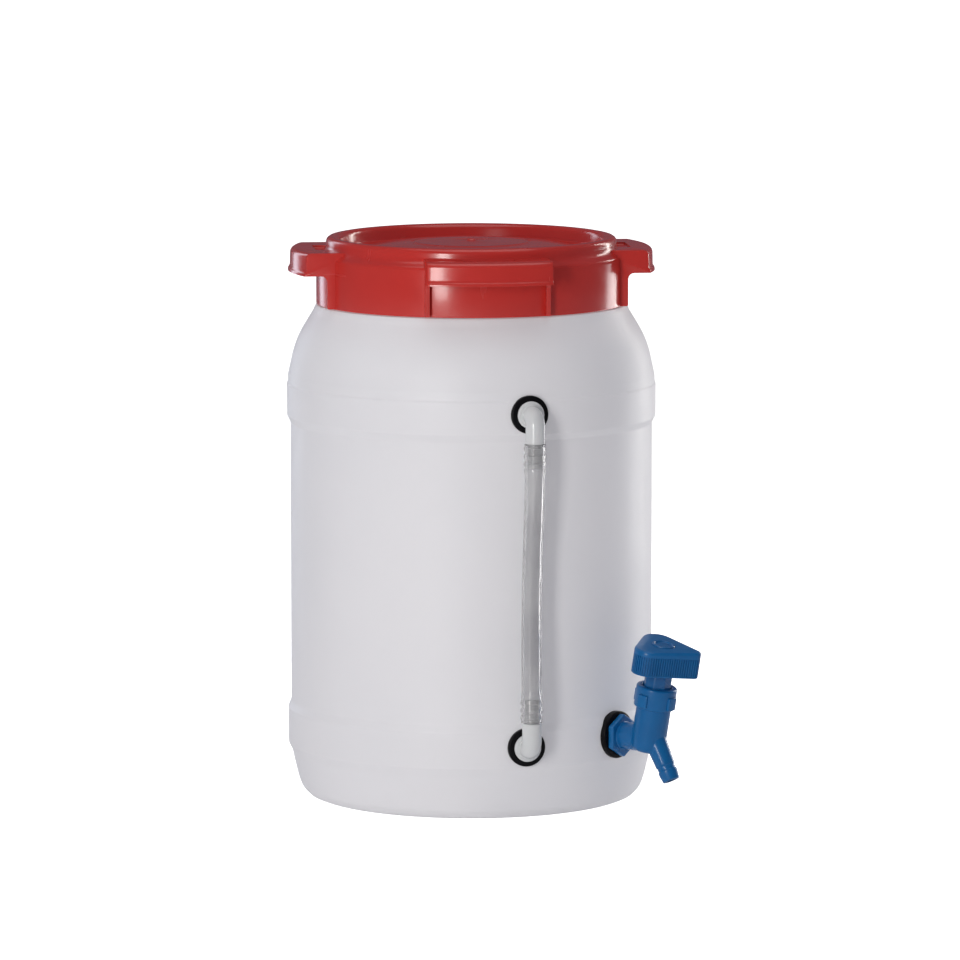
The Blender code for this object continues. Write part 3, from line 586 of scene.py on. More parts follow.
class Effects:
    """The effects that several finishes share, each one node group made once."""

    def __init__(self) -> None:
        """Builds the groups."""
        self.grain = self.make_grain()
        self.drift = self.make_drift()
        self.scuffs = self.make_scuffs()
        self.edges = self.make_edges()

    @staticmethod
    def make_grain() -> bpy.types.NodeTree:
        """The texture of a moulded skin: fine grain over broad, soft waves.

        Returns:
            The group, which puts out a height.
        """
        inputs = [
            GroupSocket("Grain Scale", value=900.0),
            GroupSocket("Grain Height", value=0.00002),
            GroupSocket("Wave Scale", value=40.0),
            GroupSocket("Wave Height", value=0.0001),
        ]
        group, wiring, entry, leave = new_group("moulded_skin", inputs, [GroupSocket("Height")])
        fine = wiring.noise(entry["Grain Scale"], 4.0)
        broad = wiring.noise(entry["Wave Scale"], 2.0)
        height = wiring.maths(
            "ADD",
            wiring.maths("MULTIPLY", fine, entry["Grain Height"]),
            wiring.maths("MULTIPLY", broad, entry["Wave Height"]),
        )
        wiring.feed(leave["Height"], height)
        return group

    @staticmethod
    def make_drift() -> bpy.types.NodeTree:
        """Slow changes of tone over a surface, as in coloured plastic.

        Returns:
            The group, which puts out a colour.
        """
        inputs = [
            GroupSocket("Colour", "NodeSocketColor", (0.5, 0.5, 0.5, 1.0)),
            GroupSocket("Second Colour", "NodeSocketColor", (0.4, 0.4, 0.4, 1.0)),
            GroupSocket("Scale", value=12.0),
            GroupSocket("Amount", value=0.5),
        ]
        outputs = [GroupSocket("Colour", "NodeSocketColor")]
        group, wiring, entry, leave = new_group("tone_drift", inputs, outputs)
        share = wiring.fade(wiring.noise(entry["Scale"], 3.0), 0.3, 0.7, 0.0, 1.0)
        share = wiring.maths("MULTIPLY", share, entry["Amount"])
        wiring.feed(leave["Colour"], wiring.blend(share, entry["Colour"], entry["Second Colour"]))
        return group

    @staticmethod
    def make_scuffs() -> bpy.types.NodeTree:
        """Faint rub marks and hairline scratches from handling.

        Returns:
            The group, which puts out a mask.
        """
        inputs = [GroupSocket("Scale", value=60.0), GroupSocket("Amount", value=0.5)]
        group, wiring, entry, leave = new_group("handling_scuffs", inputs, [GroupSocket("Mask")])
        upright = wiring.noise(entry["Scale"], 5.0, (1.0, 1.0, 0.06))
        level = wiring.noise(entry["Scale"], 5.0, (0.25, 0.25, 2.4))
        marks = wiring.maths(
            "MAXIMUM",
            wiring.fade(upright, 0.62, 0.74, 0.0, 1.0),
            wiring.fade(level, 0.64, 0.74, 0.0, 0.7),
        )
        patch = wiring.fade(wiring.noise(9.0, 2.0), 0.45, 0.7, 0.1, 1.0)
        mask = wiring.maths("MULTIPLY", wiring.maths("MULTIPLY", marks, patch), entry["Amount"])
        wiring.feed(leave["Mask"], mask)
        return group

    @staticmethod
    def make_edges() -> bpy.types.NodeTree:
        """Rubbed edges: a mask of the outward edges, broken up by noise.

        Returns:
            The group, which puts out a mask.
        """
        inputs = [GroupSocket("Start", value=0.52), GroupSocket("Amount", value=0.5)]
        group, wiring, entry, leave = new_group("rubbed_edges", inputs, [GroupSocket("Mask")])
        bend = wiring.add("ShaderNodeNewGeometry").outputs["Pointiness"]
        past = wiring.maths("MULTIPLY", wiring.maths("SUBTRACT", bend, entry["Start"]), 14.0)
        clipped = wiring.add("ShaderNodeClamp", None, Value=past).outputs["Result"]
        broken = wiring.fade(wiring.noise(170.0, 4.0), 0.35, 0.65, 0.25, 1.0)
        mask = wiring.maths("MULTIPLY", wiring.maths("MULTIPLY", clipped, broken), entry["Amount"])
        wiring.feed(leave["Mask"], mask)
        return group


@dataclass(frozen=True)
class Plastic:
    """A moulded plastic or rubber.

    Attributes:
        name: the material's name.
        colour: its main colour.
        deep_colour: the colour that it drifts to.
        drift: how far it drifts.
        drift_scale: how fast it drifts, per metre.
        roughness: its roughness where it is clean.
        scuff_roughness: what scuffs add to the roughness.
        scuffs: how strong they are.
        edge_colour: the colour of a rubbed edge.
        edges: how strongly edges are rubbed.
        grain_scale: the grain's scale, per metre.
        grain: the grain's height.
        wave: the height of the broad waves.
        coat: the weight of a clear, glossy skin.
        glow: how much light passes into it.
        shine: how strongly it mirrors; 0.5 is plain plastic.
        painted_glow: strength of a painted glow in the surface's own colour. It stands in for light that
            comes through a thin, pale wall from behind it, and lifts the shade evenly.
    """

    name: str
    colour: tuple[float, float, float]
    deep_colour: tuple[float, float, float]
    drift: float = 0.5
    drift_scale: float = 10.0
    roughness: float = 0.4
    scuff_roughness: float = 0.2
    scuffs: float = 0.5
    edge_colour: tuple[float, float, float] = (0.8, 0.8, 0.8)
    edges: float = 0.2
    grain_scale: float = 900.0
    grain: float = 0.00002
    wave: float = 0.00008
    coat: float = 0.0
    glow: float = 0.0
    shine: float = 0.5
    painted_glow: float = 0.0

    def material(self, effects: Effects) -> bpy.types.Material:
        """Makes the material.

        Args:
            effects: the shared groups.

        Returns:
            The material.
        """
        made = bpy.data.materials.new(self.name)
        made.use_nodes = True
        wiring = Wiring(made.node_tree)
        shader = made.node_tree.nodes["Principled BSDF"]
        tone = wiring.add(
            "ShaderNodeGroup",
            {"node_tree": effects.drift},
            Colour=(*self.colour, 1.0),
            Second_Colour=(*self.deep_colour, 1.0),
            Scale=self.drift_scale,
            Amount=self.drift,
        )
        edges = wiring.add("ShaderNodeGroup", {"node_tree": effects.edges}, Amount=self.edges)
        scuffs = wiring.add("ShaderNodeGroup", {"node_tree": effects.scuffs}, Amount=self.scuffs)
        rubbed = wiring.blend(edges.outputs["Mask"], tone.outputs["Colour"], (*self.edge_colour, 1.0))
        wiring.feed(shader.inputs["Base Color"], rubbed)
        marks = wiring.maths("MULTIPLY", scuffs.outputs["Mask"], self.scuff_roughness)
        cloud = wiring.fade(wiring.noise(35.0, 3.0), 0.3, 0.7, -0.03, 0.03)
        rough = wiring.maths("ADD", wiring.maths("ADD", marks, self.roughness), cloud)
        wiring.feed(shader.inputs["Roughness"], rough)
        skin = wiring.add("ShaderNodeGroup", {"node_tree": effects.grain})
        skin.inputs["Grain Scale"].default_value = self.grain_scale
        skin.inputs["Grain Height"].default_value = self.grain
        skin.inputs["Wave Height"].default_value = self.wave
        bump = wiring.add("ShaderNodeBump", None, Height=skin.outputs["Height"], Distance=1.0)
        wiring.feed(shader.inputs["Normal"], bump.outputs["Normal"])
        shader.inputs["Coat Weight"].default_value = self.coat
        shader.inputs["Coat Roughness"].default_value = 0.06
        shader.inputs["Specular IOR Level"].default_value = self.shine
        # Painted glow: the surface gives off light in its own colour although it is no lamp. This stands in
        # for light coming through the wall and lifts its shade.
        wiring.feed(shader.inputs["Emission Color"], rubbed)
        shader.inputs["Emission Strength"].default_value = self.painted_glow
        shader.inputs["IOR"].default_value = 1.5
        if self.glow:
            shader.inputs["Subsurface Weight"].default_value = self.glow
            shader.inputs["Subsurface Radius"].default_value = (0.9, 1.0, 1.0)
            shader.inputs["Subsurface Scale"].default_value = 0.004
        return made


@dataclass(frozen=True)
class ClearHose:
    """Clear, slightly milky soft PVC.

    Attributes:
        name: the material's name.
        colour: its tint.
        roughness: its roughness.
        clearness: how much light passes through.
    """

    name: str = "clear_soft_pvc"
    colour: tuple[float, float, float] = (0.90, 0.90, 0.90)
    roughness: float = 0.07
    clearness: float = 0.84

    def material(self, effects: Effects) -> bpy.types.Material:
        """Makes the material.

        Args:
            effects: the shared groups.

        Returns:
            The material.
        """
        made = bpy.data.materials.new(self.name)
        made.use_nodes = True
        wiring = Wiring(made.node_tree)
        shader = made.node_tree.nodes["Principled BSDF"]
        tone = wiring.add(
            "ShaderNodeGroup",
            {"node_tree": effects.drift},
            Colour=(*self.colour, 1.0),
            Second_Colour=(0.76, 0.76, 0.77, 1.0),
            Scale=25.0,
            Amount=0.6,
        )
        wiring.feed(shader.inputs["Base Color"], tone.outputs["Colour"])
        streaks = wiring.noise(120.0, 3.0, (1.0, 1.0, 0.08))
        rough = wiring.fade(streaks, 0.3, 0.7, self.roughness, self.roughness + 0.12)
        wiring.feed(shader.inputs["Roughness"], rough)
        skin = wiring.add("ShaderNodeGroup", {"node_tree": effects.grain})
        skin.inputs["Grain Height"].default_value = 0.00001
        skin.inputs["Wave Scale"].default_value = 90.0
        skin.inputs["Wave Height"].default_value = 0.0
        drawn = wiring.maths("MULTIPLY", wiring.noise(420.0, 3.0, (1.0, 1.0, 0.002)), 0.00008)
        height = wiring.maths("ADD", skin.outputs["Height"], drawn)
        bump = wiring.add("ShaderNodeBump", None, Height=height, Distance=1.0)
        wiring.feed(shader.inputs["Normal"], bump.outputs["Normal"])
        shader.inputs["Transmission Weight"].default_value = self.clearness
        shader.inputs["IOR"].default_value = 1.42
        return made


@dataclass(frozen=True)
class TurnedSteel:
    """Stainless steel with fine turning marks."""

    name: str = "stainless_steel"
    colour: tuple[float, float, float] = (0.60, 0.60, 0.58)

    def material(self, effects: Effects) -> bpy.types.Material:
        """Makes the material.

        Args:
            effects: the shared groups.

        Returns:
            The material.
        """
        made = bpy.data.materials.new(self.name)
        made.use_nodes = True
        wiring = Wiring(made.node_tree)
        shader = made.node_tree.nodes["Principled BSDF"]
        tone = wiring.add(
            "ShaderNodeGroup",
            {"node_tree": effects.drift},
            Colour=(*self.colour, 1.0),
            Second_Colour=(0.42, 0.42, 0.41, 1.0),
            Scale=300.0,
            Amount=0.5,
        )
        wiring.feed(shader.inputs["Base Color"], tone.outputs["Colour"])
        marks = wiring.noise(900.0, 2.0, (0.2, 0.2, 4.0))
        wiring.feed(shader.inputs["Roughness"], wiring.fade(marks, 0.3, 0.7, 0.22, 0.42))
        shader.inputs["Metallic"].default_value = 1.0
        return made


@dataclass
class Finishes:
    """All finishes of the drum.

    Attributes:
        effects: the shared node groups.
    """

    effects: Effects = field(default_factory=Effects)

    def __post_init__(self) -> None:
        """Makes every material once."""
        recipes = {
            "drum_plastic": Plastic(
                "natural_polyethylene",
                (0.70, 0.695, 0.71),
                (0.665, 0.665, 0.685),
                drift=0.6,
                drift_scale=7.0,
                roughness=0.44,
                edge_colour=(0.80, 0.80, 0.82),
                wave=0.00012,
                glow=0.12,
                shine=0.3,
                # The drum gets a painted glow that lifts its shade evenly.
                painted_glow=0.25,
            ),
            "lid_plastic": Plastic(
                "red_polypropylene",
                (0.65, 0.040, 0.031),
                (0.57, 0.031, 0.025),
                roughness=0.22,
                edge_colour=(0.66, 0.08, 0.06),
                wave=0.00006,
                coat=0.14,
            ),
            "fitting_plastic": Plastic(
                "white_polypropylene",
                (0.76, 0.78, 0.775),
                (0.70, 0.72, 0.72),
                drift_scale=60.0,
                roughness=0.16,
                glow=0.25,
            ),
            "rubber": Plastic(
                "black_rubber",
                (0.004, 0.004, 0.005),
                (0.007, 0.007, 0.008),
                drift_scale=90.0,
                roughness=0.30,
                shine=0.10,
                edge_colour=(0.03, 0.03, 0.03),
                grain_scale=2200.0,
                grain=0.00003,
            ),
            "tap_plastic": Plastic(
                "blue_polypropylene",
                (0.0054, 0.142, 0.39),
                (0.004, 0.116, 0.33),
                drift_scale=45.0,
                roughness=0.30,
                edge_colour=(0.03, 0.22, 0.50),
                wave=0.00005,
                coat=0.1,
                shine=0.32,
            ),
            "plug_plastic": Plastic(
                "dark_blue_polypropylene",
                (0.005, 0.124, 0.35),
                (0.004, 0.102, 0.30),
                drift_scale=45.0,
                roughness=0.28,
                edge_colour=(0.06, 0.2, 0.42),
                coat=0.1,
            ),
            "clear_hose": ClearHose(),
            "steel": TurnedSteel(),
        }
        self.made = {slot: recipe.material(self.effects) for slot, recipe in recipes.items()}

    def __getitem__(self, slot: str) -> bpy.types.Material:
        """The material of one of the record's slots."""
        return self.made[slot]


# ---------------------------------------------------------------- drum


@dataclass
class DrumShell:
    """The blow-moulded drum.

    Attributes:
        steps: how many steps its round has.
        foot_radius: outer radius of the ring that it stands on.
        barrel_radius: radius of the plain wall.
        lower_band_radius: radius of the band near the base.
        upper_band_radius: radius of the band under the shoulder.
        inner_radius: radius inside the plain wall.
        neck_radius: radius of the neck.
        neck_top: height of the neck's rim.
        thread_lead: rise of the neck's thread in one turn.
        thread_turns: how many turns it has.
        thread_start: height of its first section.
        thread_crest: radius of its crest.
    """

    steps: int = 192
    foot_radius: float = 0.110
    barrel_radius: float = 0.1272
    lower_band_radius: float = 0.1292
    upper_band_radius: float = 0.1297
    inner_radius: float = 0.1246
    neck_radius: float = 0.1010
    neck_top: float = 0.3894
    thread_lead: float = 0.0100
    thread_turns: float = 1.25
    thread_start: float = 0.3582
    thread_crest: float = 0.1042

    def outside(self, offset: float = 0.0) -> list[Corner]:
        """The outer section, from the middle of the base to the neck's rim.

        Args:
            offset: how far the section is moved out.

        Returns:
            Its corners.
        """
        foot = [(0.1152, 0.0021), (0.1194, 0.0067), (0.1221, 0.0135), (0.1247, 0.0240), (0.1266, 0.0325)]
        foot = flowing(foot, 3)
        shoulder = [(0.1289, 0.2984), (0.1273, 0.3055), (0.1249, 0.3160), (0.1209, 0.3266), (0.1156, 0.3360)]
        shoulder = flowing([*shoulder, (0.1113, 0.3430)], 3)
        corners = [
            (self.foot_radius - 0.0120, 0.0015, 0.0010),
            (self.foot_radius - 0.0075, 0.0, 0.0010),
            (self.foot_radius, 0.0, 0.0020),
            *foot,
            (self.lower_band_radius, 0.0377, 0.0008),
            (self.lower_band_radius, 0.0628, 0.0008),
            (self.barrel_radius, 0.0680, 0.0010),
            (self.barrel_radius, 0.2650, 0.0008),
            (self.upper_band_radius - 0.0001, 0.2698, 0.0008),
            (self.upper_band_radius, 0.2924, 0.0005),
            (0.1290, 0.2934, 0.0006),
            *shoulder,
            (0.1097, 0.3466, 0.0008),
            (0.1087, 0.3481, 0.0004),
            (self.neck_radius, 0.3483, 0.0006),
            (self.neck_radius, 0.3795, 0.0010),
            (self.neck_radius - 0.0024, 0.3816, 0.0008),
            (self.neck_radius - 0.0024, self.neck_top, 0.0008),
        ]
        return [(corner[0] + offset, *corner[1:]) for corner in corners]

    def inside(self) -> list[Corner]:
        """The inner section, from the neck's rim down to the middle of the floor."""
        shoulder = [(0.1056, 0.3440), (0.1128, 0.3336), (0.1182, 0.3240), (0.1218, 0.3148), (0.1239, 0.3060)]
        return [
            (self.neck_radius - 0.0060, self.neck_top, 0.0008),
            (self.neck_radius - 0.0060, 0.3800, 0.0008),
            (self.neck_radius - 0.0036, 0.3780, 0.0008),
            (self.neck_radius - 0.0036, 0.3470, 0.0020),
            *flowing(shoulder, 2),
            (self.inner_radius, 0.2980, 0.0020),
            (self.inner_radius, 0.0360, 0.0060),
            (0.1190, 0.0135, 0.0040),
            (0.1150, 0.0072, 0.0020),
            (0.1105, 0.0045, 0.0015),
            (0.0, 0.0045),
        ]

    def skin(self) -> Shape:
        """A solid just outside the wall, which shapes the backs of the rubber rings."""
        top = self.outside(GAP)[2:-6]
        return Shape.turned("wall_skin", [(0.0, 0.0), *top, (0.0, 0.3430)], self.steps, 3)

    def hole(self, azimuth: float, height: float, radius: float) -> Shape:
        """A round cutter through the wall.

        Args:
            azimuth: where it is round the drum.
            height: where it is up the drum.
            radius: the hole's radius.

        Returns:
            The cutter.
        """
        section = [(0.0, 0.110), (radius, 0.110), (radius, 0.140), (0.0, 0.140)]
        cutter = Shape.turned("wall_hole", section, 48)
        cutter.place(wall_turn(azimuth) @ lying(Vector((0.0, 0.0, height))))
        return cutter

    def build(self, finishes: Finishes, holes: Sequence[tuple[float, float, float]]) -> None:
        """Models the drum and dresses it.

        Args:
            finishes: the finishes.
            holes: azimuth, height and radius of each hole in the wall.
        """
        section = [(0.0, 0.0015), *self.outside(), *self.inside()]
        drum = Shape.turned("drum_shell", section, self.steps)
        thread = thread_ridge(
            "neck_thread",
            self.neck_radius - 0.0014,
            self.thread_crest,
            self.thread_start,
            self.thread_lead,
            self.thread_turns,
        )
        drum.combine(thread, "UNION")
        for azimuth, height, radius in holes:
            drum.combine(self.hole(azimuth, height, radius), "DIFFERENCE")
        drum.dress(finishes["drum_plastic"], "drum", "drum_plastic", "drum_body")


def thread_ridge(name: str, root: float, crest: float, start: float, lead: float, turns: float) -> Shape:
    """A right-handed helical ridge whose ends sink into the wall.

    Args:
        name: the piece's name.
        root: radius of its root, inside the wall.
        crest: radius of its crest.
        start: height of its first section's middle.
        lead: rise in one turn.
        turns: how many turns it has.

    Returns:
        The closed ridge.
    """
    half_root = 0.0020
    half_crest = 0.0010
    section = [
        (root, start - half_root),
        (crest, start - half_crest, 0.0003),
        (crest, start + half_crest, 0.0003),
        (root, start + half_root),
    ]
    ridge = Shape.prism(name, section, 2)
    let_go()
    ridge.modify("SCREW", angle=FULL_TURN * turns, screw_offset=lead * turns, steps=200, render_steps=200)
    ridge.open()
    bpy.ops.mesh.select_mode(type="EDGE")
    bpy.ops.mesh.select_all(action="DESELECT")
    bpy.ops.mesh.select_non_manifold()
    bpy.ops.mesh.fill_holes(sides=0)
    ridge.seal()
    return ridge


# ---------------------------------------------------------------- lid


@dataclass
class ScrewLid:
    """The red screw lid with its four hollow lugs.

    Attributes:
        steps: how many steps its round has.
        skirt_radius: outer radius of the skirt.
        skirt_bore: radius inside the skirt.
        skirt_bottom: height of the skirt's lower edge.
        rim_radius: outer radius of the raised rim.
        rim_top: height of the rim's top.
        lug_count: how many lugs there are.
        lug_blank: how far out a lug's blank reaches before it is cut round.
        lug_radius: radius of the round that the lugs' outer faces lie on.
        lug_lip_radius: radius of the lip at their lower edge.
        lug_half_width: half the width of a lug.
        lug_wall: thickness of its walls.
        lug_top: height of its top.
        lug_bottom: height of its front face's lower edge.
        thread_crest: radius of the inner thread's crest.
        thread_start: height of its first section.
    """

    steps: int = 192
    skirt_radius: float = 0.1089
    skirt_bore: float = 0.1064
    skirt_bottom: float = 0.3487
    rim_radius: float = 0.1020
    rim_top: float = 0.3955
    lug_count: int = 4
    lug_blank: float = 0.1350
    lug_radius: float = 0.1273
    lug_lip_radius: float = 0.1288
    lug_half_width: float = 0.0434
    lug_wall: float = 0.0030
    lug_top: float = 0.3882
    lug_bottom: float = 0.3722
    thread_crest: float = 0.1022
    thread_start: float = 0.3532

    def section(self) -> list[Corner]:
        """The lid's section: from the middle of the underside out, round the skirt and back over the top."""
        dome = flowing([(0.0825, 0.3858), (0.0690, 0.3885), (0.0560, 0.3902), (0.0405, 0.3914)], 3)
        return [
            (0.0, 0.3900),
            (0.0560, 0.3876, 0.0020),
            (0.0810, 0.3838, 0.0020),
            (0.0868, 0.3822, 0.0010),
            (0.0941, 0.3822, 0.0004),
            (0.0941, 0.3930, 0.0006),
            (0.0996, 0.3930, 0.0006),
            (0.0996, 0.3866, 0.0006),
            (0.1014, 0.3830, 0.0008),
            (0.1050, 0.3816, 0.0008),
            (self.skirt_bore, 0.3800, 0.0006),
            (self.skirt_bore, self.skirt_bottom, 0.0004),
            (self.skirt_radius, self.skirt_bottom, 0.0007),
            (self.skirt_radius, 0.3826, 0.0018),
            (0.1040, 0.3856, 0.0018),
            (self.rim_radius, 0.3884, 0.0016),
            (self.rim_radius, self.rim_top, 0.0036),
            (0.0926, self.rim_top, 0.0034),
            (0.0913, 0.3858, 0.0012),
            (0.0865, 0.3846, 0.0016),
            *dome,
            (0.0395, 0.3920, 0.0004),
            (0.0385, 0.3915, 0.0004),
            (0.0036, 0.3924, 0.0006),
            (0.0024, 0.3936, 0.0006),
            (0.0, 0.3938),
        ]

    def lug_round(self) -> Shape:
        """The round that the lugs' outer faces lie on, with a lip below and a soft edge above."""
        low = self.skirt_bottom - 0.0020
        return Shape.turned(
            "lug_round",
            [
                (0.0, low),
                (self.lug_lip_radius - 0.0003, low),
                (self.lug_lip_radius, self.lug_bottom + 0.0006, 0.0005),
                (self.lug_lip_radius - 0.0002, self.lug_bottom + 0.0018, 0.0006),
                (self.lug_radius + 0.0001, self.lug_bottom + 0.0032, 0.0012),
                (self.lug_radius - 0.0002, self.lug_top, 0.0034),
                (0.0, self.lug_top),
            ],
            self.steps,
        )

    def pocket(self) -> Shape:
        """The hollow under a lug, open below."""
        half = self.lug_half_width - self.lug_wall
        low = (0.0700, -half, self.skirt_bottom - 0.0100)
        pocket = Shape.block("lug_pocket", low, (self.lug_blank, half, self.lug_top))
        section = [
            (0.0, self.skirt_bottom - 0.0120),
            (self.lug_radius - self.lug_wall, self.skirt_bottom - 0.0120),
            (self.lug_radius - self.lug_wall, self.lug_top - self.lug_wall, 0.0016),
            (0.0, self.lug_top - self.lug_wall),
        ]
        pocket.combine(Shape.turned("lug_hollow", section, self.steps), "INTERSECT")
        return pocket

    def lug(self) -> Shape:
        """One hollow lug out of the +X side, modelled from its side view.

        Returns:
            The lug, cut to the lid's wall.
        """
        low = self.skirt_bottom + 0.0004
        web = 0.1054
        blank = self.lug_blank
        side = [
            (0.0880, low),
            (web, low, 0.0010),
            (web, self.lug_bottom, 0.0042),
            (blank, self.lug_bottom),
            (blank, self.lug_top),
            (0.0880, self.lug_top),
        ]
        lug = Shape.prism("lug", side)
        lug.push(Vector((0.0, 2.0 * self.lug_half_width, 0.0)))
        bpy.ops.mesh.select_all(action="SELECT")
        bpy.ops.transform.translate(value=(0.0, -self.lug_half_width, 0.0))
        lug.seal()
        lug.combine(self.lug_round(), "INTERSECT")
        lug.bevel(0.0012, 3, 50.0)
        lug.combine(self.pocket(), "DIFFERENCE")
        step_low = (0.0900, -0.0180, self.lug_top - 0.0020)
        step = Shape.block("lug_step", step_low, (0.1108, 0.0180, self.lug_top + 0.0100))
        step.bevel(0.0012, 3)
        lug.combine(step, "DIFFERENCE")
        core = [(0.0, 0.3300), (0.1080, 0.3300), (0.1080, 0.3812), (0.1009, 0.3860)]
        core += [(0.1009, 0.4100), (0.0, 0.4100)]
        lug.combine(Shape.turned("lid_core", core, self.steps), "DIFFERENCE")
        return lug

    def build(self, finishes: Finishes) -> None:
        """Models the lid and dresses it.

        Args:
            finishes: the finishes.
        """
        lid = Shape.turned("screw_lid", self.section(), self.steps)
        lug = self.lug()
        apart = FULL_TURN / self.lug_count
        turns = [Matrix.Rotation(apart * index, 4, "Z") for index in range(1, self.lug_count)]
        lug.take_in([lug.copy("lug_copy", turn) for turn in turns])
        lid.combine(lug, "UNION")
        thread = thread_ridge(
            "lid_thread", self.skirt_bore + 0.0012, self.thread_crest, self.thread_start, 0.0100, 1.25
        )
        lid.combine(thread, "UNION")
        lid.dress(finishes["lid_plastic"], "lid", "lid_plastic", "lid")


# ---------------------------------------------------------------- level gauge


@dataclass
class GaugeEnd:
    """One end of the level gauge: an elbow in a rubber ring.

    Attributes:
        side: upper or lower, as its nodes are named.
        azimuth: where it is round the drum.
        height: height of its shank.
        hose_end: height of the hose's end.
        way: the way that its hose tail points.
    """

    side: str
    azimuth: float
    height: float
    hose_end: float
    way: Way


@dataclass
class LevelGauge:
    """The level gauge: two elbows in rubber rings and the clear hose between them.

    Attributes:
        ends: its two ends, lower one first.
        sides: how many sides its round pieces have.
        hose_axis: how far the hose is from the drum's axis.
        tube_radius: outer radius of an elbow.
        tube_bore: radius of its bore.
        bend_radius: radius of its bend.
        shank_radius: radius of its shank.
        shank_end: where the shank ends inside the drum.
        flange_radius: radius of its flange.
        flange_seat: where the flange's back is.
        ring_radius: outer radius of the rubber ring.
        barb_base: radius of the hose tail.
        barb_length: how far it goes into the hose.
        barb_pitch: distance between two barbs.
        barb_count: how many barbs it has.
        hose_radius: outer radius of the hose.
        hose_bore: radius of its bore.
        bow: how far the hose bows towards the drum.
    """

    ends: tuple[GaugeEnd, GaugeEnd] = (
        GaugeEnd("lower", math.radians(10.65), 0.0526, 0.0718, Way.UP),
        GaugeEnd("upper", math.radians(11.55), 0.2838, 0.2648, Way.DOWN),
    )
    sides: int = 48
    hose_axis: float = 0.1425
    tube_radius: float = 0.00675
    tube_bore: float = 0.0034
    bend_radius: float = 0.0074
    shank_radius: float = 0.0050
    shank_end: float = 0.1120
    flange_radius: float = 0.0095
    flange_seat: float = 0.1326
    ring_radius: float = 0.01325
    barb_base: float = 0.0046
    barb_length: float = 0.0153
    barb_pitch: float = 0.0053
    barb_count: int = 3
    hose_radius: float = 0.0070
    hose_bore: float = 0.0050
    bow: float = 0.0030

    def holes(self) -> list[tuple[float, float, float]]:
        """Azimuth, height and radius of the holes that its shanks need."""
        return [(end.azimuth, end.height, self.shank_radius + GAP) for end in self.ends]

    def elbow(self, end: GaugeEnd) -> Shape:
        """Walks a ring from the shank's end, out of the wall, round the bend and over the barbs.

        Args:
            end: the gauge end that it belongs to.

        Returns:
            The elbow, placed.
        """
        way = end.way.value
        out = Vector((1.0, 0.0, 0.0))
        along = Vector((0.0, 0.0, way))
        start = Vector((self.shank_end, 0.0, end.height))
        walk = RingWalk(f"{end.side}_hose_elbow", start, out, self.shank_radius - 0.0006, self.sides)
        walk.go(0.0008 * out, self.shank_radius)
        walk.go((self.flange_seat - walk.centre.x) * out)
        walk.widen(self.flange_radius - 0.0003)
        walk.go(0.0003 * out, self.flange_radius)
        walk.go(0.0010 * out)
        walk.go(0.0007 * out, self.flange_radius - 0.0006)
        walk.go(0.0003 * out, self.flange_radius - 0.0016)
        walk.widen(self.tube_radius + 0.0006)
        walk.go(0.0006 * out, self.tube_radius)
        bend_start = self.hose_axis - self.bend_radius
        walk.go((bend_start - walk.centre.x) * out if walk.centre.x < bend_start else Vector())
        pivot = Vector((walk.centre.x, 0.0, end.height + way * self.bend_radius))
        walk.swing(pivot, -way * QUARTER_TURN, 14)
        tail = end.hose_end - way * GAP
        walk.go(way * (tail - walk.centre.z) * along - 0.0004 * along)
        walk.go(0.0004 * along, self.tube_radius - 0.0004)
        walk.widen(self.barb_base)
        for index in range(self.barb_count):
            rise = tail + way * (0.0027 + self.barb_pitch * index)
            walk.go(way * (rise - walk.centre.z) * along)
            walk.go(0.0004 * along, self.barb_base + 0.0008)
            walk.go(0.0026 * along, self.barb_base)
        tip = tail + way * (self.barb_length + 0.0006)
        walk.go(way * (tip - walk.centre.z) * along, self.barb_base - 0.0004)
        walk.widen(self.tube_bore)
        walk.go((end.height + way * self.bend_radius - walk.centre.z) * Vector((0.0, 0.0, 1.0)))
        walk.swing(pivot, way * QUARTER_TURN, 14)
        walk.go((self.shank_end - walk.centre.x) * out)
        elbow = walk.close()
        elbow.place(wall_turn(end.azimuth))
        return elbow

    def hose_centre(self, height: float) -> Vector:
        """The hose's centre line: straight over both barbs, slightly bowed between them.

        Args:
            height: the height of the point.

        Returns:
            The point.
        """
        lower, upper = self.ends
        low = lower.hose_end + self.barb_length + 0.0020
        high = upper.hose_end - self.barb_length - 0.0020
        share = min(max((height - low) / (high - low), 0.0), 1.0)
        ease = share * share * (3.0 - 2.0 * share)
        azimuth = lower.azimuth + (upper.azimuth - lower.azimuth) * ease
        radius = self.hose_axis - self.bow * 16.0 * (share * (1.0 - share)) ** 2
        return Vector((radius * math.sin(azimuth), -radius * math.cos(azimuth), height))

    def stations(self) -> list[tuple[float, float, float]]:
        """Rise from the lower end, outer radius and bore radius of each of the hose's rings.

        Returns:
            The stations, from the bottom up.
        """
        half = [(0.0, 0.0073, 0.0057), (0.0003, 0.0075, 0.0057)]
        for index in range(self.barb_count):
            foot = 0.0011 + self.barb_pitch * index
            swell = ((0.0, 0.00722), (0.0006, 0.0075), (0.0014, 0.00778), (0.0022, 0.00788))
            swell += ((0.0032, 0.0076), (0.0042, 0.0073))
            half += [(foot + rise, radius, 0.0057) for rise, radius in swell]
            half.append((foot + 0.0048, 0.0072, 0.0057))
        taper = ((0.0020, 0.00748, 0.0057), (0.0040, 0.00738, 0.0054), (0.0060, 0.00715, 0.0051))
        half += [(self.barb_length + rise, radius, bore) for rise, radius, bore in taper]
        half.append((self.barb_length + 0.0078, self.hose_radius, self.hose_bore))
        length = self.ends[1].hose_end - self.ends[0].hose_end
        free = length - 2.0 * half[-1][0]
        count = 30
        rises = [half[-1][0] + free * index / count for index in range(1, count)]
        plain = [(rise, self.hose_radius, self.hose_bore) for rise in rises]
        return half + plain + [(length - rise, radius, bore) for rise, radius, bore in half[::-1]]

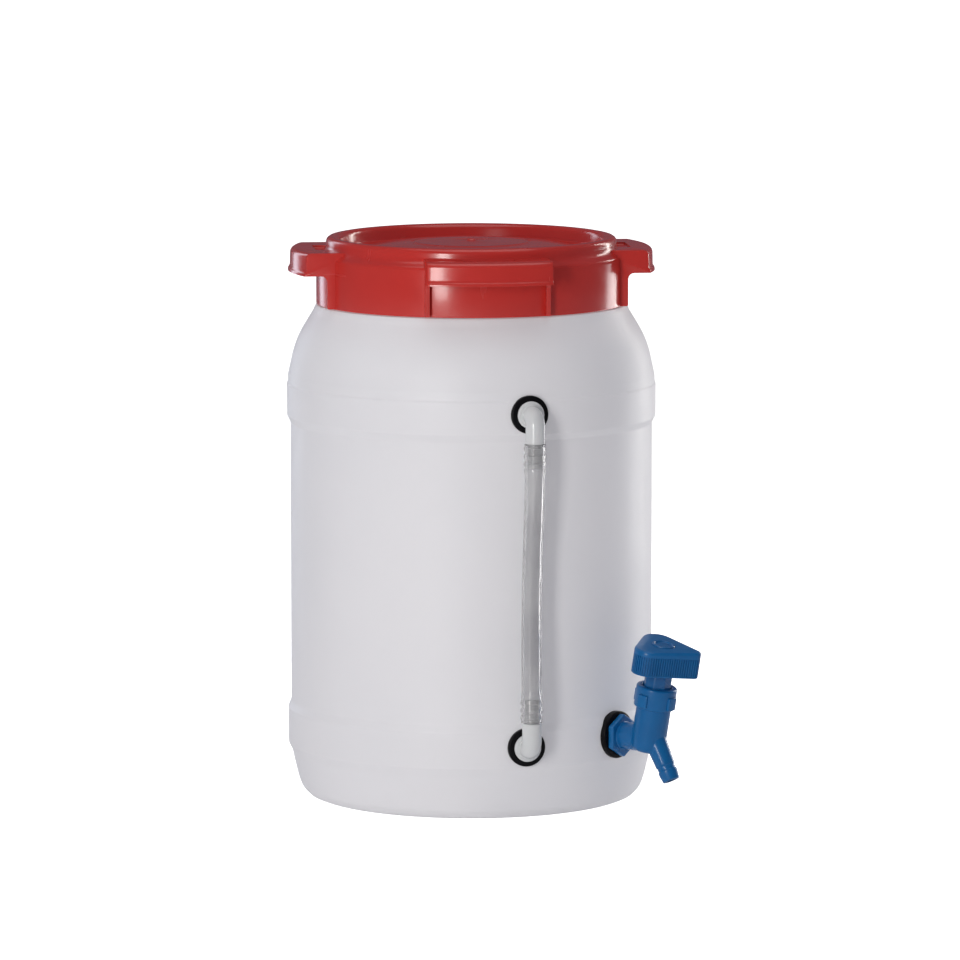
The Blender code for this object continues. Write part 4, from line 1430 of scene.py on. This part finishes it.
    def hose(self) -> Shape:
        """Walks a ring up the hose's skin and down its bore.

        Returns:
            The hose.
        """
        base = self.ends[0].hose_end
        stations = self.stations()
        up = Vector((0.0, 0.0, 1.0))
        walk = RingWalk("clear_hose", self.hose_centre(base), up, stations[0][1], self.sides)
        for rise, radius, _ in stations[1:]:
            walk.go(self.hose_centre(base + rise) - walk.centre, radius)
        walk.widen(stations[-1][2])
        for rise, _, bore in stations[-2::-1]:
            walk.go(self.hose_centre(base + rise) - walk.centre, bore)
        return walk.close()

    def ring(self, end: GaugeEnd, skin: Shape) -> Shape:
        """The rubber ring under an elbow's flange, its back shaped to the wall.

        Args:
            end: the gauge end that it belongs to.
            skin: a solid just outside the wall.

        Returns:
            The ring.
        """
        name = f"{end.side}_rubber_ring"
        return wall_ring(name, self.shank_radius + GAP, self.ring_radius, self.flange_seat, end, skin)

    def build(self, finishes: Finishes, skin: Shape) -> None:
        """Models the gauge and dresses it.

        Args:
            finishes: the finishes.
            skin: a solid just outside the wall.
        """
        for end in self.ends:
            elbow = self.elbow(end)
            elbow.dress(finishes["fitting_plastic"], "drum", "fitting_plastic", f"{end.side}_elbow")
            self.ring(end, skin).dress(finishes["rubber"], "drum", "rubber", f"{end.side}_gasket")
        self.hose().dress(finishes["clear_hose"], "drum", "clear_hose", "sight_hose")


def wall_ring(name: str, bore: float, radius: float, seat: float, end: GaugeEnd, skin: Shape) -> Shape:
    """A rubber ring between the wall and a flange.

    Args:
        name: the piece's name.
        bore: the radius of its hole.
        radius: its outer radius.
        seat: where the flange's back is.
        end: where it is on the drum.
        skin: a solid just outside the wall, which shapes its back.

    Returns:
        The ring, placed.
    """
    front = seat - GAP
    section = [(bore, seat - 0.0080), (radius, seat - 0.0080), (radius, front, 0.0011), (bore, front, 0.0003)]
    ring = Shape.turned(name, section, 72)
    ring.place(wall_turn(end.azimuth) @ lying(Vector((0.0, 0.0, end.height))))
    cutter = skin.copy("skin_copy", Matrix.Identity(4))
    ring.combine(cutter, "DIFFERENCE")
    return ring


# ---------------------------------------------------------------- tap


@dataclass
class DrawOffTap:
    """The blue draw-off tap.

    Attributes:
        azimuth: where it is round the drum.
        height: height of its shank.
        shank_radius: radius of its shank.
        shank_end: where the shank ends inside the drum.
        ring_radius: outer radius of the rubber ring.
        flange_seat: where the flange's back is.
        flange_front: where its front is.
        inlet_radius: radius of the inlet tube.
        inlet_bore: radius of its bore.
        barrel_foot: the barrel's own origin, on the inlet's axis.
        barrel_lean: how far the barrel leans out.
        barrel_radius: radius of the barrel.
        barrel_bottom: lowest point of the barrel, along its axis.
        barrel_top: its top, along its axis.
        chamber_radius: radius of the chamber that the plug turns in.
        spout_start: where the spout's axis starts.
        spout_end: the middle of the spout's end.
        spout_bore: radius of the spout's bore.
        collar_radius: radius of the collar.
        collar_bottom: its lower edge, along the barrel's axis.
        collar_top: its upper edge.
        stem_radius: radius of the faceted stem.
        knob_bottom: the knob's underside.
        knob_top: the knob's top.
        knob_turn: how the knob stands when the tap is shut.
        knob_tip: reach and rounding of the knob's tip.
        knob_corner: place and rounding of its back corners.
        knob_rib_top: how far up its side the ribs reach.
        knob_lift: how far the middle of its sloping top is above knob_top.
        knob_slope: how steeply its top rises away from its front flank.
    """

    azimuth: float = math.radians(44.8)
    height: float = 0.0546
    shank_radius: float = 0.0097
    shank_end: float = 0.1060
    ring_radius: float = 0.0165
    flange_seat: float = 0.1326
    flange_front: float = 0.1370
    inlet_radius: float = 0.0094
    inlet_bore: float = 0.0060
    barrel_foot: tuple[float, float, float] = (0.1585, 0.0, 0.0560)
    barrel_lean: float = math.radians(10.5)
    barrel_radius: float = 0.0121
    barrel_bottom: float = -0.0102
    barrel_top: float = 0.0300
    chamber_radius: float = 0.0085
    spout_start: tuple[float, float, float] = (0.1631, 0.0, 0.0552)
    spout_end: tuple[float, float, float] = (0.1780, 0.0, 0.0272)
    spout_bore: float = 0.0040
    collar_radius: float = 0.0142
    collar_bottom: float = 0.0218
    collar_top: float = 0.0370
    stem_radius: float = 0.0098
    knob_bottom: float = 0.0476
    knob_top: float = 0.0655
    knob_turn: float = math.radians(26.0)
    knob_tip: tuple[float, float] = (0.0226, 0.0045)
    knob_corner: tuple[float, float, float] = (-0.0065, 0.0120, 0.0110)
    knob_rib_top: float = 0.0140
    knob_lift: float = 0.0011
    knob_slope: float = math.radians(3.2)

    def holes(self) -> list[tuple[float, float, float]]:
        """Azimuth, height and radius of the hole that its shank needs."""
        return [(self.azimuth, self.height, self.shank_radius + GAP)]

    @property
    def inlet_turn(self) -> Matrix:
        """Places a shape made about Z along the inlet."""
        return wall_turn(self.azimuth) @ lying(Vector((0.0, 0.0, self.height)))

    @property
    def stem_turn(self) -> Matrix:
        """Places a shape made about Z along the leaning barrel."""
        lean = Matrix.Rotation(self.barrel_lean, 4, "Y")
        return wall_turn(self.azimuth) @ Matrix.Translation(self.barrel_foot) @ lean

    @property
    def spout_length(self) -> float:
        """Length of the spout's axis."""
        return (Vector(self.spout_end) - Vector(self.spout_start)).length

    @property
    def spout_turn(self) -> Matrix:
        """Places a shape made about Z along the spout."""
        run = Vector(self.spout_end) - Vector(self.spout_start)
        turn = run.to_track_quat("Z", "Y").to_matrix().to_4x4()
        return wall_turn(self.azimuth) @ Matrix.Translation(self.spout_start) @ turn

    def casting(self) -> Shape:
        """The tap's body: inlet, barrel and spout run into each other, with a hexagon flange.

        Returns:
            The body.
        """
        foot = self.barrel_foot[0]
        inlet = [(0.0, self.flange_front - 0.0010), (self.inlet_radius, self.flange_front - 0.0010)]
        body = Shape.turned("tap_casting", [*inlet, (self.inlet_radius, foot), (0.0, foot)], 64)
        body.place(self.inlet_turn)
        barrel = [
            (0.0, self.barrel_bottom),
            (self.barrel_radius, self.barrel_bottom, 0.0052),
            (self.barrel_radius, self.barrel_top),
            (0.0, self.barrel_top),
        ]
        upright = Shape.turned("tap_barrel", barrel, 64)
        upright.place(self.stem_turn)
        body.combine(upright, "UNION")
        neck = self.spout_length - 0.0110
        spout = Shape.turned("tap_spout_root", [(0.0, 0.0), (0.0078, 0.0), (0.0067, neck), (0.0, neck)], 48)
        spout.place(self.spout_turn)
        body.combine(spout, "UNION")
        body.modify("REMESH", mode="VOXEL", voxel_size=0.00045)
        body.modify("SMOOTH", factor=0.5, iterations=8)
        for piece in (self.shank(), self.spout_tail()):
            body.combine(piece, "UNION")
        body.combine(self.water_way(), "DIFFERENCE")
        return body

    def shank(self) -> Shape:
        """The shank and the hexagon flange, in one.

        Returns:
            The piece.
        """
        section = [
            (0.0, self.shank_end),
            (self.shank_radius, self.shank_end, 0.0008),
            (self.shank_radius, self.flange_seat + 0.0010),
            (self.inlet_radius + 0.0006, self.flange_front),
            (self.inlet_radius - 0.0002, self.flange_front + 0.0010),
            (0.0, self.flange_front + 0.0010),
        ]
        shank = Shape.turned("tap_shank", section, 64)
        hexagon = Shape.ring("tap_flange", 0.0150, 6, Matrix.Rotation(math.radians(30.0), 4, "Z"))
        bpy.ops.mesh.edge_face_add()
        bpy.ops.transform.translate(value=(0.0, 0.0, self.flange_seat))
        hexagon.push(Vector((0.0, 0.0, self.flange_front - self.flange_seat)))
        hexagon.seal()
        hexagon.bevel(0.0007, 3)
        shank.combine(hexagon, "UNION")
        shank.place(self.inlet_turn)
        return shank

    def spout_tail(self) -> Shape:
        """The spout's lower end with its steps and its barb.

        Returns:
            The piece.
        """
        end = self.spout_length
        section = [
            (0.0, end - 0.0130),
            (0.00665, end - 0.0130),
            (0.0065, end - 0.0110, 0.0002),
            (0.0062, end - 0.0106, 0.0002),
            (0.0061, end - 0.0080, 0.0002),
            (0.0067, end - 0.0075, 0.0003),
            (0.0067, end - 0.0058, 0.0004),
            (0.0059, end, 0.0005),
            (0.0, end),
        ]
        tail = Shape.turned("tap_spout_tail", section, 48)
        tail.place(self.spout_turn)
        return tail

    def water_way(self) -> Shape:
        """The cutter for the chamber and both bores.

        Returns:
            The cutter.
        """
        top = self.barrel_top + 0.0100
        chamber = [(0.0, -0.0080), (self.chamber_radius, -0.0080), (self.chamber_radius, top), (0.0, top)]
        way = Shape.turned("tap_water_way", chamber, 48)
        way.place(self.stem_turn)
        start = self.shank_end - 0.0100
        end = self.barrel_foot[0] - 0.0010
        inlet = [(0.0, start), (self.inlet_bore, start), (self.inlet_bore, end), (0.0, end)]
        bore = Shape.turned("tap_inlet_bore", inlet, 32)
        bore.place(self.inlet_turn)
        way.combine(bore, "UNION")
        far = self.spout_length + 0.0100
        outlet = [(0.0, 0.0010), (self.spout_bore, 0.0010), (self.spout_bore, far), (0.0, far)]
        bore = Shape.turned("tap_spout_bore", outlet, 32)
        bore.place(self.spout_turn)
        way.combine(bore, "UNION")
        return way

    def collar(self) -> Shape:
        """The ring over the barrel's top, with four grip lobes.

        Returns:
            The collar.
        """
        bore = self.barrel_radius + GAP
        lip = self.stem_radius + 0.0006
        shelf = self.barrel_top + 0.0032
        section = [
            (bore, self.collar_bottom, 0.0003),
            (self.collar_radius, self.collar_bottom, 0.0008),
            (self.collar_radius, self.collar_top, 0.0014),
            (lip, self.collar_top, 0.0005),
            (lip, shelf),
            (bore, shelf),
        ]
        collar = Shape.turned("tap_collar_ring", section, 72)
        low = (self.collar_radius - 0.0012, -0.0040, self.collar_bottom + 0.0012)
        high = (self.collar_radius + 0.0014, 0.0040, self.collar_top - 0.0050)
        lobe = Shape.block("collar_lobe", low, high)
        lobe.bevel(0.0008, 3)
        turns = [Matrix.Rotation(QUARTER_TURN * index, 4, "Z") for index in range(1, 4)]
        lobe.take_in([lobe.copy("collar_lobe_copy", turn) for turn in turns])
        collar.combine(lobe, "UNION")
        collar.place(self.stem_turn)
        return collar

    def plug(self) -> Shape:
        """The turning plug with its ring groove, cross hole, faceted stem and spigot.

        Returns:
            The plug.
        """
        radius = self.chamber_radius - GAP
        top = self.barrel_top
        section = [
            (0.0, -0.0077),
            (radius, -0.0077, 0.0004),
            (radius, 0.0200),
            (radius - 0.0018, 0.0200),
            (radius - 0.0018, 0.0222),
            (radius, 0.0222),
            (radius, top + GAP),
            (0.0118, top + GAP),
            (0.0118, top + 0.0028),
            (0.0, top + 0.0028),
        ]
        plug = Shape.turned("tap_plug_stem", section, 64)
        foot = self.knob_bottom
        plug.combine(self.bar("stem_bar", self.stem_radius, 8, top + 0.0015, foot - GAP, 0.0008), "UNION")
        spigot = self.bar("stem_spigot", 0.0056, 6, foot - 0.0020, foot + 0.0080, 0.0003)
        plug.combine(spigot, "UNION")
        hole = [(0.0, self.knob_bottom - 0.0040), (0.0019, self.knob_bottom - 0.0040)]
        hole = Shape.turned("screw_hole", [*hole, (0.0019, self.knob_top), (0.0, self.knob_top)], 24)
        plug.combine(hole, "DIFFERENCE")
        hole = [(0.0, -0.0200), (0.0045, -0.0200), (0.0045, 0.0200), (0.0, 0.0200)]
        cross = Shape.turned("cross_hole", hole, 32)
        cross.place(Matrix.Rotation(QUARTER_TURN, 4, "X"))
        plug.combine(cross, "DIFFERENCE")
        plug.place(self.stem_turn)
        return plug

    @staticmethod
    def bar(name: str, radius: float, sides: int, bottom: float, top: float, rounding: float) -> Shape:
        """A bar with flat sides and rounded edges.

        Args:
            name: the piece's name.
            radius: distance of its corners from the axis.
            sides: how many sides it has.
            bottom: its lower end.
            top: its upper end.
            rounding: width of its rounded edges.

        Returns:
            The bar.
        """
        bar = Shape.ring(name, radius, sides, Matrix.Rotation(math.pi / sides, 4, "Z"))
        bpy.ops.mesh.edge_face_add()
        bpy.ops.transform.translate(value=(0.0, 0.0, bottom))
        bar.push(Vector((0.0, 0.0, top - bottom)))
        bar.seal()
        bar.bevel(rounding, 3)
        return bar

    def knob_outline(self, count: int) -> list[Corner]:
        """The knob from above: a rounded triangle, walked in equal steps.

        Args:
            count: how many points it has.

        Returns:
            Its (x, y) points.
        """
        tip_reach, tip_radius = self.knob_tip
        back_x, back_y, back_radius = self.knob_corner
        run = math.hypot(tip_reach - back_x, back_y)
        flank = math.atan2(tip_reach - back_x, back_y) - math.asin((back_radius - tip_radius) / run)
        arcs = (
            (tip_reach, 0.0, tip_radius, -flank, flank),
            (back_x, back_y, back_radius, flank, math.pi),
            (back_x, -back_y, back_radius, math.pi, FULL_TURN - flank),
        )
        path = []
        for x, y, radius, start, end in arcs:
            angles = [start + (end - start) * index / 40 for index in range(41)]
            path += [Vector((x + radius * math.cos(a), y + radius * math.sin(a))) for a in angles]
        path.append(path[0])
        lengths = [(b - a).length for a, b in zip(path, path[1:])]
        total = sum(lengths)
        points = []
        walked = 0.0
        target = 0.0
        for a, b, length in zip(path, path[1:], lengths):
            while len(points) < count and target <= walked + length and length > 0.0:
                points.append(tuple(a.lerp(b, (target - walked) / length)))
                target = total * len(points) / count
            walked += length
        return points

    def knob(self) -> Shape:
        """The pick-shaped knob with ribs round its lower part.

        Returns:
            The knob.
        """
        rib_count = 82
        outline = self.knob_outline(2 * rib_count)
        knob = Shape.prism("ribbed_knob", outline, 1)
        height = self.knob_top - self.knob_bottom
        levels = (0.0010, self.knob_rib_top, height + 0.0050)
        last = 0.0
        for level in levels:
            knob.push(Vector((0.0, level - last, 0.0)))
            last = level
        bpy.ops.mesh.select_all(action="SELECT")
        bpy.ops.mesh.normals_make_consistent(inside=False)
        middle = Vector((0.0, height + self.knob_lift, 0.0))
        facing = Vector((0.0, math.cos(self.knob_slope), math.sin(self.knob_slope)))
        bpy.ops.mesh.select_all(action="SELECT")
        bpy.ops.mesh.bisect(plane_co=middle, plane_no=facing, use_fill=True, clear_outer=True)
        knob.pick(Kind.EDGES, lambda place, _: abs((place - middle).dot(facing)) < SAME_PLACE)
        bpy.ops.mesh.bevel(offset=0.0019, segments=4, affect="EDGES")
        knob.pick(Kind.EDGES, lambda place, _: abs(place.y) < SAME_PLACE)
        bpy.ops.mesh.bevel(offset=0.0006, segments=2, affect="EDGES")
        middles = [(Vector(a) + Vector(b)) / 2.0 for a, b in zip(outline[::2], outline[1::2])]
        spots = {(round(spot.x, 5), round(spot.y, 5)) for spot in middles}
        knob.pick(
            Kind.FACES,
            lambda place, _: 0.0011 < place.y < self.knob_rib_top
            and (round(place.x, 5), round(place.z, 5)) in spots,
        )
        bpy.ops.mesh.inset(thickness=0.00012, depth=-0.00075, use_individual=True)
        knob.seal()
        upright = Matrix.Translation((0.0, 0.0, self.knob_bottom)) @ Matrix.Rotation(QUARTER_TURN, 4, "X")
        knob.place(Matrix.Rotation(self.knob_turn, 4, "Z") @ upright)
        hollow = [
            (0.0, self.knob_bottom + 0.0083),
            (0.0022, self.knob_bottom + 0.0083),
            (0.0022, self.knob_top - 0.0060),
            (0.0045, self.knob_top - 0.0060),
            (0.0045, self.knob_top - 0.0026),
            (0.0083, self.knob_top - 0.0026),
            (0.0083, self.knob_top + 0.0100),
            (0.0, self.knob_top + 0.0100),
        ]
        knob.combine(Shape.turned("knob_hollow", hollow, 48), "DIFFERENCE")
        foot = self.knob_bottom
        socket = self.bar("knob_socket", 0.0060, 6, foot - 0.0100, foot + 0.0088, 0.0002)
        knob.combine(socket, "DIFFERENCE")
        knob.place(self.stem_turn)
        return knob

    def cap(self) -> Shape:
        """The bare round cap in the knob's top, with a raised rim.

        Returns:
            The cap.
        """
        top = self.knob_top
        section = [
            (0.0, top - 0.0023),
            (0.0080, top - 0.0023, 0.0003),
            (0.0080, top + 0.0009, 0.0007),
            (0.0066, top + 0.0009, 0.0005),
            (0.0061, top - 0.0002, 0.0003),
            (0.0030, top + 0.0001, 0.0010),
            (0.0, top + 0.0002),
        ]
        cap = Shape.turned("knob_cap", section, 64)
        centre = Vector((0.0, 0.0, top))
        slope = Matrix.Rotation(self.knob_turn, 4, "Z") @ Matrix.Rotation(self.knob_slope, 4, "X")
        raised = centre + Vector((0.0, 0.0, self.knob_lift))
        cap.place(Matrix.Translation(raised) @ slope @ Matrix.Translation(-centre))
        cap.place(self.stem_turn)
        return cap

    def build(self, finishes: Finishes, skin: Shape) -> None:
        """Models the tap and dresses it.

        Args:
            finishes: the finishes.
            skin: a solid just outside the wall.
        """
        blue = finishes["tap_plastic"]
        place = GaugeEnd("tap", self.azimuth, self.height, 0.0, Way.UP)
        bore = self.shank_radius + GAP
        ring = wall_ring("tap_rubber_ring", bore, self.ring_radius, self.flange_seat, place, skin)
        ring.dress(finishes["rubber"], "drum", "rubber", "tap_gasket")
        self.casting().dress(blue, "drum", "tap_plastic", "tap_body")
        self.collar().dress(blue, "drum", "tap_plastic", "tap_collar")
        self.plug().dress(finishes["plug_plastic"], "tap_handle", "plug_plastic", "tap_plug")
        self.knob().dress(blue, "tap_handle", "tap_plastic", "tap_knob")
        self.cap().dress(finishes["plug_plastic"], "tap_handle", "plug_plastic", "tap_knob_cap")


# ---------------------------------------------------------------- parts that stay, and the studio


class CarriedParts:
    """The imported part's own pieces that stay in view, with a better finish."""

    def __init__(self, frame: dict) -> None:
        """Reads each node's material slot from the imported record.
        """
        self.nodes = frame["nodes"]
        self.slots = {row["node"]: row["material_slot"] for row in frame["record"]["subparts"]}

    def dress(self, finishes: Finishes) -> None:
        """Gives every node that still shows its finish.

        Args:
            finishes: the finishes.
        """
        for name, thing in self.nodes.items():
            slot = self.slots[name]
            for place in thing.material_slots:
                place.material = finishes[slot]
            if not thing.hide_render:
                LOG.info("%s stays, in %s", name, slot)


@dataclass
class Studio:
    """A pale floor, soft lights and the camera.

    Attributes:
        azimuth: where the camera stands.
        pitch: how far it looks down.
        distance: how far it is from the point that it looks at.
        aim: that point.
        lens: its focal length, in millimetres on a 36 mm sensor.
    """

    azimuth: float = math.radians(-6.4)
    pitch: float = math.radians(7.3)
    distance: float = 5.00266
    aim: tuple[float, float, float] = (0.00609, -0.00069, 0.22274)
    lens: float = 266.25

    def camera(self) -> None:
        """Adds the camera at the photograph's angle."""
        level = math.cos(self.pitch)
        back = Vector(
            (math.sin(self.azimuth) * level, -math.cos(self.azimuth) * level, math.sin(self.pitch))
        )
        data = bpy.data.cameras.new("camera")
        data.lens = self.lens
        data.sensor_width = 36.0
        data.clip_end = 50.0
        camera = bpy.data.objects.new("camera", data)
        bpy.context.scene.collection.objects.link(camera)
        camera.location = Vector(self.aim) + self.distance * back
        camera.rotation_euler = (QUARTER_TURN - self.pitch, 0.0, self.azimuth)
        bpy.context.scene.camera = camera

    def light(self, name: str, azimuth: float, elevation: float, size: tuple[float, float], power: float,
              colour: tuple[float, float, float] = (1.0, 1.0, 1.0), distance: float = 1.6,
              mirrored: bool = True) -> None:
        """Adds a softbox that faces the drum's middle.

        Args:
            name: its name.
            azimuth: where it stands, in degrees; 0 is in front and 90 at +X.
            elevation: how high it is, in degrees.
            size: its width and height.
            power: its power in watts.
            colour: its colour.
            distance: how far it is from the drum's middle.
            mirrored: whether shiny surfaces show it.
        """
        data = bpy.data.lights.new(name, "AREA")
        data.shape = "RECTANGLE"
        data.size, data.size_y = size
        data.energy = power
        data.color = colour
        lamp = bpy.data.objects.new(name, data)
        bpy.context.scene.collection.objects.link(lamp)
        turn = math.radians(azimuth)
        rise = math.radians(elevation)
        away = Vector((math.sin(turn) * math.cos(rise), -math.cos(turn) * math.cos(rise), math.sin(rise)))
        lamp.location = Vector((0.0, 0.0, 0.2)) + distance * away
        lamp.rotation_mode = "QUATERNION"
        lamp.rotation_quaternion = away.to_track_quat("Z", "Y")
        lamp.visible_camera = False
        lamp.visible_glossy = mirrored

    def lights(self) -> None:
        """Adds the softboxes."""
        self.light("key", -28.0, 9.0, (0.26, 0.7), 9.2, (1.0, 0.985, 0.965))
        self.light("fill", 88.0, 12.0, (2.6, 1.8), 4.0, (0.80, 0.88, 1.0), 2.4, False)
        self.light("left_fill", -92.0, 10.0, (1.6, 1.6), 3.0, (0.92, 0.95, 1.0), 1.6, False)
        self.light("left_edge", -150.0, 8.0, (0.30, 1.4), 4.0, (0.80, 0.88, 1.0))
        self.light("right_edge", 129.0, 10.0, (0.16, 1.4), 7.0, (1.0, 0.97, 0.92))
        self.light("strip", 112.0, 0.0, (0.12, 0.34), 0.6, (1.0, 1.0, 1.0), 0.6)
        self.light("overhead", 10.0, 82.0, (1.4, 1.4), 7.5)

    def world(self) -> None:
        """A white surround for the camera and a dimmer, cooler one for the reflections."""
        world = bpy.data.worlds.new("studio")
        bpy.context.scene.world = world
        world.use_nodes = True
        wiring = Wiring(world.node_tree)
        out = world.node_tree.nodes["World Output"]
        seen = wiring.add("ShaderNodeBackground", None, Color=(1.0, 1.0, 1.0), Strength=1.0)
        around = wiring.add("ShaderNodeBackground", None, Color=(0.66, 0.61, 0.75), Strength=0.17)
        rays = wiring.add("ShaderNodeLightPath")
        mix = wiring.add("ShaderNodeMixShader")
        wiring.feed(mix.inputs[0], rays.outputs["Is Camera Ray"])
        wiring.feed(mix.inputs[1], around.outputs[0])
        wiring.feed(mix.inputs[2], seen.outputs[0])
        wiring.feed(out.inputs["Surface"], mix.outputs[0])

    def floor(self) -> None:
        """A plain pale floor, which isn't part of the object."""
        let_go()
        bpy.ops.mesh.primitive_plane_add(size=1.0)
        floor = Shape("floor")
        floor.place(Matrix.Diagonal((24.0, 24.0, 1.0, 1.0)))
        paper = bpy.data.materials.new("white_paper")
        paper.use_nodes = True
        wiring = Wiring(paper.node_tree)
        shader = paper.node_tree.nodes["Principled BSDF"]
        tone = wiring.fade(wiring.noise(3.0, 2.0), 0.3, 0.7, 0.0, 1.0)
        colour = wiring.blend(tone, (0.90, 0.90, 0.90, 1.0), (0.92, 0.92, 0.92, 1.0))
        wiring.feed(shader.inputs["Base Color"], colour)
        shader.inputs["Roughness"].default_value = 0.9
        rays = wiring.add("ShaderNodeLightPath")
        glow = wiring.blend(rays.outputs["Is Camera Ray"], (0.0, 0.0, 0.0, 1.0), (1.0, 1.0, 1.0, 1.0))
        wiring.feed(shader.inputs["Emission Color"], glow)
        shader.inputs["Emission Strength"].default_value = 1.2
        floor.thing.data.materials.append(paper)

    def build(self) -> None:
        """Sets up the whole studio."""
        bpy.context.scene.view_settings.view_transform = "Standard"
        self.camera()
        self.lights()
        self.world()
        self.floor()


def main() -> None:
    """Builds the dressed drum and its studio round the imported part."""
    logging.basicConfig(level=logging.INFO, format="%(message)s")
    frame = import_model()
    finishes = Finishes()
    shell = DrumShell()
    gauge = LevelGauge()
    tap = DrawOffTap()
    skin = shell.skin()
    shell.build(finishes, gauge.holes() + tap.holes())
    ScrewLid().build(finishes)
    gauge.build(finishes, skin)
    tap.build(finishes, skin)
    bpy.data.objects.remove(skin.thing)
    CarriedParts(frame).dress(finishes)
    Studio().build()


if __name__ == "__main__":
    main()
